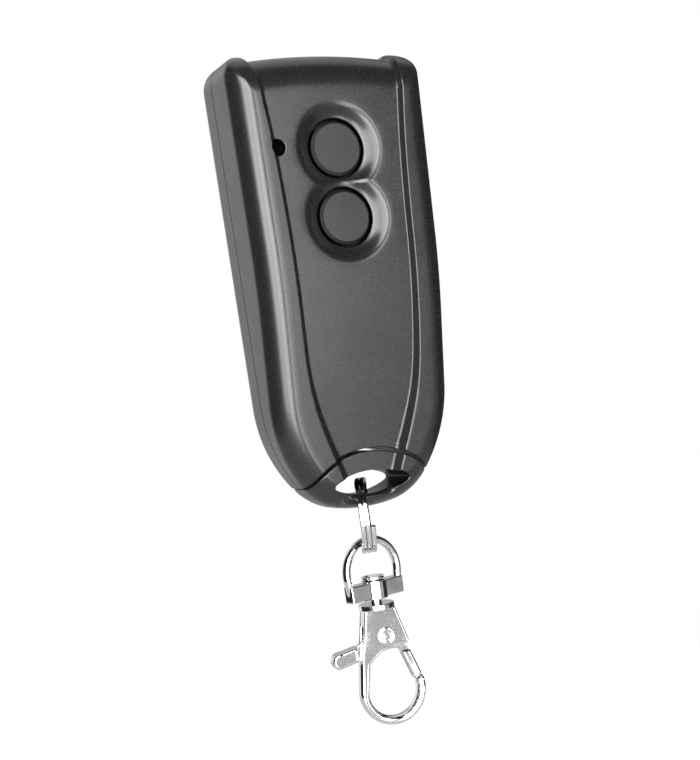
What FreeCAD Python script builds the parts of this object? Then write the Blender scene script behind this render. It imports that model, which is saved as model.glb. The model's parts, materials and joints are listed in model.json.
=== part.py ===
"""Garage door remote with its split ring and swivel snap hook.

Millimetres. X is to the right seen from the front, the buttons face -Y, Z is up.
The origin is on the flat back face, at half the height of the remote.
"""
import FreeCAD, Part
import math
import os
import Sketcher

V = FreeCAD.Vector
UP = V(0, 0, 1)

# Driving dimensions. Depths count forward from the back face, heights from the origin.
SIZES = {
    # Moulded housing
    "length": 70.5, "width": 32.4, "thickness": 14,
    "top_corner": 4, "tail_height": 17.5, "tail_inset": 1.15,
    "tail_side_arc": 23, "tail_corner_arc": 9.3, "tail_end_arc": 25,
    "slope_start": 6, "slope_end_rise": 4.9, "slope_arc": 90,
    "back_slope_start": 14, "back_slope_rise": 1.6,
    "front_rim": 3.5, "back_rim": 2, "top_roll": 7,
    "parting": 5, "parting_gap": 0.12, "wall": 1.6,
    # Recessed front panel between the two rails
    "panel_drop": 0.8, "panel_tail_drop": 1.3, "rail_slope": 0.54,
    "panel_top": 12.1, "panel_upper": 10.4, "panel_middle": 9.1,
    "panel_lower": 8.1, "panel_tail": 5.2, "panel_end": 3.5,
    "panel_top_arch": 98, "panel_top_sink": 0.05,
    # Buttons, their dished surround and the indicator hole
    "button_fall": 15.3, "button_pitch": 10.55, "button_across": 8.3,
    "button_gap": 0.4, "dish_across": 13.1, "dish_depth": 1.3, "dish_floor": 9.7, "dish_over": 0.6,
    "button_sink": 0.85, "button_flange": 10.2, "flange_thick": 0.6,
    "button_stem": 3, "button_edge": 0.4, "button_travel": 0.3,
    "led_across": 10.1, "led_fall": 14.95, "led_hole": 2.5, "pipe_sink": 0.9,
    "pipe_flange": 3.3,
    # Circuit board and what it carries
    "board_front": 7.7, "board_thick": 0.8, "board_margin": 0.5, "board_rise": 15.5,
    "cavity_rise": 10.5,
    "switch_size": 5.2, "switch_tall": 1.5, "plunger_across": 2.4, "plunger_proud": 0.35,
    "plunger_deep": 0.6,
    "running_gap": 0.05, "chip_tall": 1, "post_across": 2.4,
    # Coin cell and its round cover
    "cell_across": 20, "cell_thick": 3.2, "cell_fall": 22, "cell_back": 2.6,
    "cover_across": 24.6, "cover_thick": 0.8, "cover_neck": 21, "cover_lug": 23,
    "cover_sink": 0.1, "lug_thick": 0.6, "lug_angle": 32, "cover_turn": 50,
    "slot_wide": 2, "slot_long": 13, "slot_deep": 0.7, "well_wall": 1,
    "leaf_thick": 0.25,
    # Keyring cap
    "cap_apex": 9.2, "cap_arc": 14.1, "cap_gap": 0.25, "split_inset": 2.9,
    "eye_wide": 13.3, "eye_tall": 3.6, "bar_thick": 2.15,
    "bar_round": 1.5, "bar_front": 9.4, "flare_deep": 2.6,
    "tongue_wide": 9, "tongue_thick": 2.4, "tongue_back": 3.2, "tongue_tall": 6.4,
    "screw_rise": 11.5, "screw_shank": 2, "screw_head": 3.8, "screw_head_tall": 1.2,
    "boss_across": 5,
    # Split ring
    "chain_depth": 4.75, "ring_across": 11.95, "wire": 0.75, "wire_edge": 0.2,
    "coil_gap": 0.03, "ring_drop": 1.425, "ring_yaw": -22, "ring_start": 302,
    # Swivel bail
    "bail_inner": 4.45, "bail_stock": 1.15, "bail_deep": 2.1, "bail_slack": 0.78,
    "bail_drop": 4.28, "band_tall": 2.7, "band_half": 5.1, "band_inner": 4.2,
    "hub_across": 4, "hub_tall": 2.9, "bail_yaw": 12, "bail_edge": 0.35,
    "bail_lean": 8,
    # Swivel rivet
    "rivet_shank": 1.8, "rivet_head": 3.7, "rivet_head_tall": 0.6, "rivet_cup": 0.35,
    # Snap hook body
    "hook_yaw": -10, "collar_gap": 0.8, "collar_across": 5.6, "collar_tall": 0.9,
    "plate_deep": 3.2, "loop_deep": 2.1, "loop_x": 0.8, "loop_drop": 8.8,
    "loop_outer": 5.4, "loop_inner": 4.0, "slot_gap": 1.7, "hook_edge": 0.35,
    # Trigger gate
    "pivot_x": 0.55, "pivot_drop": 6, "pivot_across": 1.4, "gate_hub": 1.7,
    "gate_web": 1, "gate_deep": 2.1, "tab_deep": 2.4, "gate_offset": 0.28,
    "gate_rivet_head": 2.8, "gate_rivet_cup": 1.5, "gate_rivet_proud": 0.3,
    "spring_wire": 0.34, "spring_across": 2.2, "spring_leg": 2.6,
}

# Places worked out from the sizes. Heights below the origin are given as positive numbers.
PLACES = {
    "top": "(length / 2)",
    "button_height": "(top - button_fall)",
    "led_height": "(top - led_fall)",
    "cell_height": "(top - cell_fall)",
    "board_foot": "(top - board_rise)",
    "cavity_foot": "(top - cavity_rise)",
    "screw_height": "(top - screw_rise)",
    "eye_height": "(top - bar_thick - eye_tall / 2)",
    "ring_height": "(top + ring_drop)",
    "bail_height": "(ring_height + ring_across / 2 - wire - bail_slack + bail_inner)",
    "bail_foot": "(bail_height + bail_drop)",
    "pivot_height": "(bail_foot + pivot_drop)",
    "loop_height": "(pivot_height + loop_drop)",
}

doc = FreeCAD.newDocument("garage_door_remote")
sheet = doc.addObject("Spreadsheet::Sheet", "dims")
for row, (alias, number) in enumerate(SIZES.items(), start=1):
    sheet.set(f"A{row}", alias)
    sheet.set(f"B{row}", str(number))
    sheet.setAlias(f"B{row}", alias)
doc.recompute()

finished = []
size_of_tip = {}


def spelled_out(expression, sheet_name=""):
    """The expression with each place written out in the sheet's own names."""
    words = []
    word = ""
    for letter in expression + " ":
        if letter.isalnum() or letter in "_.":
            word += letter
            continue
        if word in PLACES:
            word = spelled_out(PLACES[word], sheet_name)
        elif word in SIZES:
            word = sheet_name + word
        words.append(word + letter)
        word = ""
    return "".join(words).strip()


def size(expression):
    """The number that an expression of sizes and places gives."""
    return float(sheet.evalExpression(spelled_out(expression)))


def bind(item, prop, expression):
    item.setExpression(prop, spelled_out(expression, "dims."))


def new_body(name, depth="0", yaw=None):
    """A body whose own Y = 0 lies depth in front of the back face, turned by yaw about Z."""
    body = doc.addObject("PartDesign::Body", name)
    body.Label = name
    if yaw:
        body.Placement = FreeCAD.Placement(V(0, 0, 0), FreeCAD.Rotation(UP, 1))
        bind(body, "Placement.Rotation.Angle", yaw)
    bind(body, "Placement.Base.y", f"-({depth})")
    finished.append(body)
    return body


def new_sketch(body, name, plane, lift="0"):
    """A sketch on an origin plane. On XZ a positive lift is forward, towards -Y."""
    sketch = body.newObject("Sketcher::SketchObject", name)
    support = [f for f in body.Origin.OriginFeatures if f.Role == plane]
    sketch.AttachmentSupport = [(support[0], "")]
    sketch.MapMode = "FlatFace"
    bind(sketch, "AttachmentOffset.Base.z", lift)
    return sketch


def drive(sketch, constraint, expression):
    index = sketch.addConstraint(constraint)
    bind(sketch, f"Constraints[{index}]", expression)


def pin_point(sketch, item, end, across, up):
    """Holds one point of a sketch item at its distances from the sketch origin."""
    drive(sketch, Sketcher.Constraint("DistanceX", -1, 1, item, end, size(across)), across)
    drive(sketch, Sketcher.Constraint("DistanceY", -1, 1, item, end, size(up)), up)


def circle(sketch, across, up, radius):
    centre = V(size(across), size(up), 0)
    item = sketch.addGeometry(Part.Circle(centre, UP, size(radius)), False)
    pin_point(sketch, item, 3, across, up)
    drive(sketch, Sketcher.Constraint("Radius", item, size(radius)), radius)


def loop(sketch, corners):
    """A closed outline through corners, each (across, up) or (across, up, radius, side).
    A radius makes the edge to the next corner an arc. Side 1 bulges it to the left of the
    way round and -1 to the right, and 2 or -2 takes the longer way round its circle."""
    ends = []
    for index, corner in enumerate(corners):
        after = corners[(index + 1) % len(corners)]
        a = V(size(corner[0]), size(corner[1]), 0)
        b = V(size(after[0]), size(after[1]), 0)
        if len(corner) == 2:
            item = sketch.addGeometry(Part.LineSegment(a, b), False)
            ends.append((item, 1, 2))
            continue
        radius, side = size(corner[2]), corner[3]
        half = (b - a) * 0.5
        leg = math.sqrt(max(radius ** 2 - half.Length ** 2, 0))
        rise = radius - leg if abs(side) == 1 else radius + leg
        left = V(-half.y, half.x, 0).normalize()
        middle = a + half + left * math.copysign(rise, side)
        item = sketch.addGeometry(Part.Arc(a, middle, b), False)
        ends.append((item, 2, 1) if side > 0 else (item, 1, 2))
        drive(sketch, Sketcher.Constraint("Radius", item, radius), corner[2])
    for index, (item, start, end) in enumerate(ends):
        after = ends[(index + 1) % len(ends)]
        sketch.addConstraint(Sketcher.Constraint("Coincident", item, end, after[0], after[1]))
        pin_point(sketch, item, start, corners[index][0], corners[index][1])


def rectangle(sketch, left, right, low, high):
    loop(sketch, [(left, low), (right, low), (right, high), (left, high)])


def settle(body, feature, grows):
    """Recomputes, and stops if the feature failed or moved no material its way."""
    before = size_of_tip.get(body.Name, 0.0)
    doc.recompute()
    volume = feature.Shape.Volume
    if "Invalid" in feature.State or feature.Shape.isNull():
        raise RuntimeError(f"{body.Label}: {feature.Name} failed")
    if grows and volume <= before or not grows and volume >= before:
        raise RuntimeError(f"{body.Label}: {feature.Name} changed nothing")
    size_of_tip[body.Name] = volume
    return feature


def pad(body, sketch, length, midplane=False, backwards=False):
    feature = body.newObject("PartDesign::Pad", sketch.Name + "_pad")
    feature.Profile = sketch
    bind(feature, "Length", length)
    feature.Midplane = midplane
    feature.Reversed = backwards
    return settle(body, feature, True)


def pocket(body, sketch, length=None, forwards=False):
    """A cut, right through both ways unless it has a length."""
    feature = body.newObject("PartDesign::Pocket", sketch.Name + "_cut")
    feature.Profile = sketch
    if length is None:
        feature.Type = "ThroughAll"
        feature.Midplane = True
    else:
        bind(feature, "Length", length)
        feature.Reversed = forwards
    return settle(body, feature, False)


def turned(body, sketch, kind, axis="V_Axis"):
    """A full turn of the sketch about one of its own axes, added or cut."""
    feature = body.newObject(f"PartDesign::{kind}", sketch.Name + "_turn")
    feature.Profile = sketch
    feature.ReferenceAxis = (sketch, [axis])
    feature.Angle = 360
    return settle(body, feature, kind == "Revolution")


def turned_about(body, profile, height, kind, angle=None):
    """A turn of a profile about a line from back to front at a height. It is a full turn, or
    an angle with its middle at the profile."""
    axis = new_sketch(body, profile.Name + "_axis", "YZ_Plane")
    level = size(height)
    line = axis.addGeometry(Part.LineSegment(V(-size("thickness"), level, 0), V(0, level, 0)), False)
    pin_point(axis, line, 1, "-thickness", height)
    pin_point(axis, line, 2, "0", height)
    feature = body.newObject(f"PartDesign::{kind}", profile.Name + "_turn")
    feature.Profile = profile
    feature.ReferenceAxis = (axis, ["Edge1"])
    feature.Angle = 360
    if angle:
        feature.Midplane = True
        bind(feature, "Angle", angle)
    settle(body, feature, kind == "Revolution")


def lofted(body, sketches, kind):
    feature = body.newObject(f"PartDesign::{kind}", sketches[0].Name + "_loft")
    feature.Profile = sketches[0]
    feature.Sections = sketches[1:]
    feature.Ruled = False
    return settle(body, feature, kind == "AdditiveLoft")


def dressed(body, kind, prop, amount, wanted):
    """A fillet or chamfer on the edges of the body's tip that the test picks."""
    base = body.Tip
    picked = [
        f"Edge{number}"
        for number, edge in enumerate(base.Shape.Edges, start=1)
        if wanted(edge)
    ]
    feature = body.newObject(f"PartDesign::{kind}", f"{base.Name}_{kind.lower()}")
    feature.Base = (base, picked)
    bind(feature, prop, amount)
    doc.recompute()
    if "Invalid" in feature.State or feature.Shape.isNull() or not feature.Shape.isValid():
        raise RuntimeError(f"{body.Label}: {feature.Name} failed on {picked}")
    size_of_tip[body.Name] = feature.Shape.Volume
    return feature


def rounded(body, radius, wanted):
    return dressed(body, "Fillet", "Radius", radius, wanted)


def middle_of(edge):
    return edge.valueAt((edge.FirstParameter + edge.LastParameter) / 2)


def runs_along(edge, direction):
    if edge.Curve.TypeId != "Part::GeomLine":
        return False
    return abs(edge.Curve.Direction.dot(direction)) > 0.999


# Housing form


def tail_points():
    """Where the outline's tail arcs meet, worked out so that each is tangent to the next."""
    side_x, side_z = size("width / 2 - tail_inset"), size("tail_height - length / 2")
    upper_x, upper_z = size("width / 2"), size("length / 2 - top_corner")
    slope = math.atan2(upper_x - side_x, upper_z - side_z)
    side_arc, corner_arc = size("tail_side_arc"), size("tail_corner_arc")
    end_arc = size("tail_end_arc")
    side_centre = V(side_x - side_arc * math.cos(slope), side_z + side_arc * math.sin(slope), 0)
    end_centre = V(0, end_arc - size("length / 2"), 0)
    one, two = side_arc - corner_arc, end_arc - corner_arc
    gap = end_centre - side_centre
    along = (one ** 2 - two ** 2 + gap.Length ** 2) / (2 * gap.Length)
    off = math.sqrt(one ** 2 - along ** 2)
    ahead = V(gap).normalize()
    corner_centre = side_centre + ahead * along + V(ahead.y, -ahead.x, 0) * off
    shoulder = side_centre + V(corner_centre - side_centre).normalize() * side_arc
    foot = end_centre + V(corner_centre - end_centre).normalize() * end_arc
    return shoulder, foot


def housing_outline(sketch):
    """Front outline: flat top, round corners, a slight taper and a three-arc tail."""
    shoulder, foot = tail_points()
    corners = [
        ("-(width / 2 - top_corner)", "length / 2"),
        ("width / 2 - top_corner", "length / 2", "top_corner", 1),
        ("width / 2", "length / 2 - top_corner"),
        ("width / 2 - tail_inset", "tail_height - length / 2", "tail_side_arc", 1),
        (str(shoulder.x), str(shoulder.y), "tail_corner_arc", 1),
        (str(foot.x), str(foot.y), "tail_end_arc", 1),
        (str(-foot.x), str(foot.y), "tail_corner_arc", 1),
        (str(-shoulder.x), str(shoulder.y), "tail_side_arc", 1),
        ("tail_inset - width / 2", "tail_height - length / 2"),
        ("-width / 2", "length / 2 - top_corner", "top_corner", 1),
    ]
    loop(sketch, corners)


def rail_turn():
    """Angle of the rails' straight slope towards the tail."""
    run, fall, reach = size("slope_start + top"), size("slope_end_rise"), size("slope_arc")
    return math.atan(fall / (run - reach * math.tan(math.atan(fall / run) / 2)))


def rail_depth(height):
    """Depth of the rail crest at a height: flat above, sloping back down to the tail."""
    reach = size("slope_arc")
    turn = rail_turn()
    below = size("slope_start") - height
    bend = reach * math.sin(turn)
    if below <= 0:
        return size("thickness")
    if below < bend:
        return size("thickness") - reach + math.sqrt(reach ** 2 - below ** 2)
    drop = reach * (1 - math.cos(turn)) + (below - bend) * math.tan(turn)
    return size("thickness") - drop


def housing_block(body):
    """The whole rounded block, before it is split into front shell, back shell and cap."""
    outline = new_sketch(body, body.Name + "_outline", "XZ_Plane")
    housing_outline(outline)
    pad(body, outline, "thickness")
    bend = size("slope_start") - size("slope_arc") * math.sin(rail_turn())
    front = new_sketch(body, body.Name + "_front_slope", "YZ_Plane")
    tail = "-(length / 2 + 1)"
    loop(front, [
        ("-thickness", "slope_start", "slope_arc", -1),
        (str(-rail_depth(bend)), str(bend)),
        (str(-rail_depth(-size("length / 2 + 1"))), tail),
        ("-(thickness + 1)", tail),
        ("-(thickness + 1)", "slope_start"),
    ])
    pocket(body, front)
    back = new_sketch(body, body.Name + "_back_slope", "YZ_Plane")
    back_arc = "((back_slope_start ^ 2 + back_slope_rise ^ 2) / back_slope_rise / 2)"
    loop(back, [
        ("0", "back_slope_start - length / 2"),
        ("1", "back_slope_start - length / 2"),
        ("1", "-(length / 2)"),
        ("-back_slope_rise", "-(length / 2)", back_arc, -1),
    ])
    pocket(body, back)
    half = size("thickness") / 2

    def front_rim(edge):
        return middle_of(edge).y < -half and not flat_seam(edge)

    def back_rim(edge):
        return middle_of(edge).y > -size("back_slope_rise + 0.3") and not flat_seam(edge)

    rounded(body, "front_rim", front_rim)
    rounded(body, "back_rim", back_rim)
    roll = new_sketch(body, body.Name + "_top_roll", "YZ_Plane")
    roll_outline(roll, "thickness", "top", "top_roll")
    pocket(body, roll)


def roll_outline(sketch, face, crown, radius):
    """What lies outside the roll between a front face and a crown, seen from the side."""
    low, high = f"({crown}) - ({radius})", "top + 1"
    loop(sketch, [
        (f"-({face})", low, radius, 1),
        (f"({radius}) - ({face})", crown),
        ("-parting", crown),
        ("-parting", high),
        (f"-({face}) - 2", high),
        (f"-({face}) - 2", low),
    ])


def flat_seam(edge):
    """A seam across the sloping faces or along the side walls, or one of the blends."""
    return runs_along(edge, V(1, 0, 0)) or runs_along(edge, V(0, 1, 0))


def panel_recess(body):
    """The panel between the rails: a loft through level sections, each with sloping sides."""
    stations = [
        ("length / 2 + 1", "panel_top", "panel_drop"),
        ("length / 2 - 15", "panel_upper", "panel_drop"),
        ("27 - top", "panel_middle", "panel_drop + 0.1"),
        ("18 - top", "panel_lower", "panel_drop + 0.25"),
        ("9 - top", "panel_tail", "panel_tail_drop"),
        ("4 - top", "panel_end", "panel_tail_drop"),
        ("-(length / 2 + 1)", "panel_end - 1.2", "panel_tail_drop"),
    ]
    sections = []
    for number, (height, half, drop) in enumerate(stations):
        crest = rail_depth(size(height))
        floor = f"-({crest} - ({drop}))"
        outer = f"-({crest} + panel_drop)"
        spread = f"({half} + rail_slope + ({drop}))"
        sketch = new_sketch(body, f"{body.Name}_panel_{number}", "XY_Plane", height)
        loop(sketch, [
            (f"-{half}", floor),
            (half, floor),
            (spread, outer),
            (f"-{spread}", outer),
        ])
        sections.append(sketch)
    lofted(body, sections, "SubtractiveLoft")


def panel_top(body):
    """The panel's own roll at the top, swept along an arch that falls towards the rails."""
    roll = new_sketch(body, body.Name + "_panel_roll", "YZ_Plane")
    crown = "top - panel_top_sink"
    radius = "top_roll - panel_drop"
    roll_outline(roll, panel_face(), crown, radius)
    half_angle = f"asin(panel_top / (panel_top_arch - ({radius})))"
    turned_about(body, roll, f"{crown} - panel_top_arch", "Groove", f"2 * {half_angle}")


def split_region(gap, end):
    """Region between the arched line where shells and cap meet and a far end, up or down."""
    side = "(width / 2 - split_inset)"
    drop = f"(cap_arc - sqrt(cap_arc ^ 2 - {side} ^ 2))"
    level = f"(cap_apex - length / 2 + {gap} - {drop})"
    return [
        (f"-{side}", level, "cap_arc", 1),
        (side, level),
        ("width", f"{level} - 0.1"),
        ("width", end),
        ("-width", end),
        ("-width", f"{level} - 0.1"),
    ]


def without_tail(body):
    sketch = new_sketch(body, body.Name + "_tail_end", "XZ_Plane")
    loop(sketch, split_region("0", "-length"))
    pocket(body, sketch)


def button_heights():
    return ["button_height", "button_height - button_pitch"]


def panel_face():
    return "(thickness - panel_drop)"


def inner_face():
    return "(thickness - panel_drop - dish_depth - 1.4)"


def board_outline(sketch, margin, foot):
    """Inside outline of the back shell down to a foot height, less a margin."""
    loop(sketch, [
        (f"-(width / 2 - wall - 2.4 - {margin})", f"length / 2 - wall - 1.2 - {margin}"),
        (f"width / 2 - wall - 2.4 - {margin}", f"length / 2 - wall - 1.2 - {margin}"),
        (f"width / 2 - wall - 0.1 - {margin}", f"length / 2 - wall - 3.5 - {margin}"),
        (f"width / 2 - wall - tail_inset - {margin}", "tail_height - length / 2"),
        (f"width / 2 - wall - tail_inset - 1.4 - {margin}", f"-{foot}"),
        (f"-(width / 2 - wall - tail_inset - 1.4 - {margin})", f"-{foot}"),
        (f"-(width / 2 - wall - tail_inset - {margin})", "tail_height - length / 2"),
        (f"-(width / 2 - wall - 0.1 - {margin})", f"length / 2 - wall - 3.5 - {margin}"),
    ])


POSTS = [("-10.8", "27.2"), ("10.8", "27.2"), ("-11", "-13.5"), ("11", "-13.5")]


def make_front_shell():
    body = new_body("front_shell")
    housing_block(body)
    panel_recess(body)
    panel_top(body)
    behind = new_sketch(body, "front_shell_behind", "XZ_Plane", "parting + parting_gap / 2")
    rectangle(behind, "-width", "width", "-length", "length")
    pocket(body, behind, "thickness")
    without_tail(body)
    stations = [
        ("length / 2 - wall - 1.2", "width / 2 - wall - 2.6", f"{inner_face()} - 1.2"),
        ("length / 2 - wall - 3.5", "width / 2 - wall - 0.2", inner_face()),
        ("slope_start", "width / 2 - wall - 0.5", inner_face()),
        ("27 - top", "width / 2 - wall - 0.8", f"{inner_face()} - 0.4"),
        ("tail_height - length / 2", "width / 2 - wall - tail_inset", "board_front + 1.4"),
        ("-cavity_foot", "width / 2 - wall - tail_inset - 1.5", "board_front + 0.5"),
    ]
    sections = []
    for number, (height, half, depth) in enumerate(stations):
        sketch = new_sketch(body, f"front_cavity_{number}", "XY_Plane", height)
        rectangle(sketch, f"-({half})", half, f"-({depth})", "-parting + 0.5")
        sections.append(sketch)
    cavity = body.newObject("PartDesign::SubtractiveLoft", "front_cavity")
    cavity.Profile = sections[0]
    cavity.Sections = sections[1:]
    cavity.Ruled = True
    settle(body, cavity, False)
    for number, height in enumerate(button_heights()):
        dish = new_sketch(body, f"button_dish_{number}", "YZ_Plane")
        face = panel_face()
        hole = "(button_across / 2 + button_gap)"
        spread = "(dish_across - dish_floor) / 2 / dish_depth"
        loop(dish, [
            (f"-({face} + dish_over)", height),
            (f"-({face} + dish_over)", f"{height} + dish_across / 2 + dish_over * {spread}"),
            (f"-({face} - dish_depth)", f"{height} + dish_floor / 2"),
            (f"-({face} - dish_depth)", f"{height} + {hole}"),
            ("-parting", f"{height} + {hole}"),
            ("-parting", height),
        ])
        turned_about(body, dish, height, "Groove")
    led = new_sketch(body, "indicator_hole", "XZ_Plane", "parting")
    circle(led, "-led_across", "led_height", "led_hole / 2")
    pocket(body, led, "thickness", forwards=True)
    posts = new_sketch(body, "board_posts", "XZ_Plane", "board_front + running_gap")
    for across, up in POSTS:
        circle(posts, across, up, "post_across / 2")
    pad(body, posts, f"{inner_face()} - board_front + 0.2")
    boss = new_sketch(body, "screw_boss", "XZ_Plane", "tongue_back + tongue_thick + running_gap")
    circle(boss, "0", "-screw_height", "boss_across / 2 - 0.2")
    pad(body, boss, "board_front + 1.2 - tongue_back - tongue_thick")
    hole = new_sketch(body, "screw_hole", "XZ_Plane", "parting")
    circle(hole, "0", "-screw_height", "screw_shank / 2 + running_gap")
    pocket(body, hole, "board_front - parting + 0.4", forwards=True)
    tongue_slot(body)


def tongue_slot(body):
    """Opening at the shells' tail for the cap's tongue."""
    slot = new_sketch(body, body.Name + "_tongue_slot", "XZ_Plane", "tongue_back - running_gap * 2")
    rectangle(
        slot, "-(tongue_wide / 2 + 0.15)", "tongue_wide / 2 + 0.15",
        "-length / 2", "-cavity_foot + 2",
    )
    pocket(body, slot, "tongue_thick + running_gap * 4", forwards=True)


def make_rear_shell():
    body = new_body("rear_shell")
    housing_block(body)
    ahead = new_sketch(body, "rear_shell_ahead", "XZ_Plane", "parting - parting_gap / 2")
    rectangle(ahead, "-width", "width", "-length", "length")
    pocket(body, ahead, "thickness", forwards=True)
    without_tail(body)
    cavity = new_sketch(body, "rear_cavity", "XZ_Plane", "wall")
    board_outline(cavity, "0", "cavity_foot")
    pocket(body, cavity, "parting", forwards=True)
    well = new_sketch(body, "cell_well", "XZ_Plane", "wall - 0.1")
    circle(well, "0", "cell_height", "cover_lug / 2 + 0.2 + well_wall")
    pad(body, well, "cell_back + cell_thick - wall + 0.5")
    bored(body, "well_bore", "cell_across / 2 + 0.2", "cell_back - running_gap * 3", "thickness")
    bored(body, "lug_path", "cover_lug / 2 + 0.2", "wall", "cell_back - running_gap * 3 - wall")
    bored(body, "cover_opening", "cover_neck / 2 + 0.1", "0 - 1", "wall + 2")
    bored(body, "cover_seat", "cover_across / 2 + 0.1", "0 - 1", "1 + cover_thick + cover_sink")
    notch = new_sketch(body, "lug_notches", "XZ_Plane", "0 - 1")
    for turn in (0, 120, 240):
        lug(notch, f"({turn} + cover_turn)", "lug_angle + 5", "cover_lug / 2 + 0.15")
    pocket(body, notch, "wall + 1.1", forwards=True)
    slot = new_sketch(body, "contact_slot", "XZ_Plane", "cell_back")
    rectangle(slot, "-2", "2", "cell_height + cell_across / 2 - 1", "cell_height + cover_lug / 2 + 2")
    pocket(body, slot, "thickness", forwards=True)
    posts = new_sketch(body, "clamp_posts", "XZ_Plane", "wall - 0.1")
    for across, up in POSTS[2:]:
        circle(posts, across, up, "post_across / 2")
    circle(posts, "-12.4", "29.4", "0.9")
    circle(posts, "12.4", "29.4", "0.9")
    pad(body, posts, "board_front - board_thick - wall + 0.1 - running_gap")
    boss = new_sketch(body, "rear_boss", "XZ_Plane", "wall - 0.1")
    circle(boss, "0", "-screw_height", "boss_across / 2")
    pad(body, boss, "tongue_back - wall + 0.1 - running_gap")
    tongue_slot(body)
    hole = new_sketch(body, "rear_screw_hole", "XZ_Plane", "0 - 1")
    circle(hole, "0", "-screw_height", "screw_shank / 2 + 0.15")
    pocket(body, hole, "thickness", forwards=True)
    head = new_sketch(body, "screw_head_seat", "XZ_Plane", "0 - 1")
    circle(head, "0", "-screw_height", "screw_head / 2 + 0.15")
    pocket(body, head, "1 + wall + 0.1", forwards=True)


def bored(body, name, radius, start, length):
    """A round cut about the cell's axis, from a depth and forward over a length."""
    sketch = new_sketch(body, name, "XZ_Plane", start)
    circle(sketch, "0", "cell_height", radius)
    pocket(body, sketch, length, forwards=True)


def lug(sketch, turn, width, radius):
    """A ring segment about the cell's axis, for a bayonet lug or its notch."""
    inner = "(cover_neck / 2 - 0.6)"
    points = []
    for reach, side in ((radius, -1), (radius, 1), (inner, 1), (inner, -1)):
        angle = f"(({turn}) + {side} * ({width}) / 2)"
        points.append((
            f"({reach}) * sin({angle} * 1 deg)",
            f"cell_height + ({reach}) * cos({angle} * 1 deg)",
        ))
    loop(sketch, [
        (*points[0], radius, 1),
        points[1],
        (*points[2], inner, -1),
        points[3],
    ])


def make_battery_cover():
    body = new_body("battery_cover")
    disc = new_sketch(body, "cover_disc", "XZ_Plane", "cover_sink")
    circle(disc, "0", "cell_height", "cover_across / 2")
    pad(body, disc, "cover_thick - running_gap")
    neck = new_sketch(body, "cover_neck_ring", "XZ_Plane", "cover_sink")
    circle(neck, "0", "cell_height", "cover_neck / 2")
    pad(body, neck, "cell_back - cover_sink - 4 * running_gap")
    lugs = new_sketch(body, "cover_lugs", "XZ_Plane", "wall + running_gap")
    for turn in (0, 120, 240):
        lug(lugs, str(turn), "lug_angle", "cover_lug / 2")
    pad(body, lugs, "lug_thick")
    slot = new_sketch(body, "coin_slot", "XZ_Plane", "0")
    rectangle(
        slot, "-slot_long / 2", "slot_long / 2",
        "cell_height - slot_wide / 2", "cell_height + slot_wide / 2",
    )
    pocket(body, slot, "cover_sink + slot_deep", forwards=True)


def eye_outline(sketch, flare):
    """The lens-shaped eye, with its lower arc dropped by the flare that rounds the bar."""
    low = f"(eye_tall / 2 + {flare})"
    loop(sketch, [
        ("-eye_wide / 2", "-eye_height", "(eye_wide ^ 2 / 4 + eye_tall ^ 2 / 4) / eye_tall", 1),
        ("eye_wide / 2", "-eye_height", f"(eye_wide ^ 2 / 4 + {low} ^ 2) / (2 * {low})", 1),
    ])


def make_keyring_cap():
    body = new_body("keyring_cap")
    housing_block(body)
    panel_recess(body)
    above = new_sketch(body, "cap_above", "XZ_Plane")
    loop(above, split_region("-cap_gap", "length"))
    pocket(body, above)
    eye = new_sketch(body, "eye", "XZ_Plane")
    eye_outline(eye, "0")
    pocket(body, eye)
    flares = (("front", "bar_front - flare_deep", "bar_front"), ("back", "flare_deep", "0"))
    for side, inner, outer in flares:
        narrow = new_sketch(body, f"eye_{side}_narrow", "XZ_Plane", inner)
        eye_outline(narrow, "0.01")
        flared = new_sketch(body, f"eye_{side}_flare", "XZ_Plane", outer)
        eye_outline(flared, "bar_round")
        lofted(body, [narrow, flared], "SubtractiveLoft")
    tongue = new_sketch(body, "cap_tongue", "XZ_Plane", "tongue_back")
    rectangle(
        tongue, "-tongue_wide / 2", "tongue_wide / 2",
        "cap_apex - length / 2 - 1.2", "cap_apex - length / 2 - 0.2 + tongue_tall",
    )
    pad(body, tongue, "tongue_thick")
    hole = new_sketch(body, "tongue_hole", "XZ_Plane", "tongue_back - 1")
    circle(hole, "0", "-screw_height", "screw_shank / 2 + 0.15")
    pocket(body, hole, "tongue_thick + 2", forwards=True)


def make_housing_screw():
    body = new_body("housing_screw")
    head = new_sketch(body, "screw_head_disc", "XZ_Plane", "wall + 0.1 - screw_head_tall")
    circle(head, "0", "-screw_height", "screw_head / 2")
    pad(body, head, "screw_head_tall")
    shank = new_sketch(body, "screw_shank_rod", "XZ_Plane", "wall")
    circle(shank, "0", "-screw_height", "screw_shank / 2")
    pad(body, shank, "board_front - wall")
    drive_cross = new_sketch(body, "screw_cross", "XZ_Plane", "wall + 0.1 - screw_head_tall - 0.1")
    arm, blade = "(screw_head * 0.32)", "(screw_head * 0.07)"
    up = "-screw_height"
    loop(drive_cross, [
        (f"-{blade}", f"{up} + {arm}"), (blade, f"{up} + {arm}"),
        (blade, f"{up} + {blade}"), (arm, f"{up} + {blade}"),
        (arm, f"{up} - {blade}"), (blade, f"{up} - {blade}"),
        (blade, f"{up} - {arm}"), (f"-{blade}", f"{up} - {arm}"),
        (f"-{blade}", f"{up} - {blade}"), (f"-{arm}", f"{up} - {blade}"),
        (f"-{arm}", f"{up} + {blade}"), (f"-{blade}", f"{up} + {blade}"),
    ])
    pocket(body, drive_cross, "screw_head_tall * 0.6", forwards=True)


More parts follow.
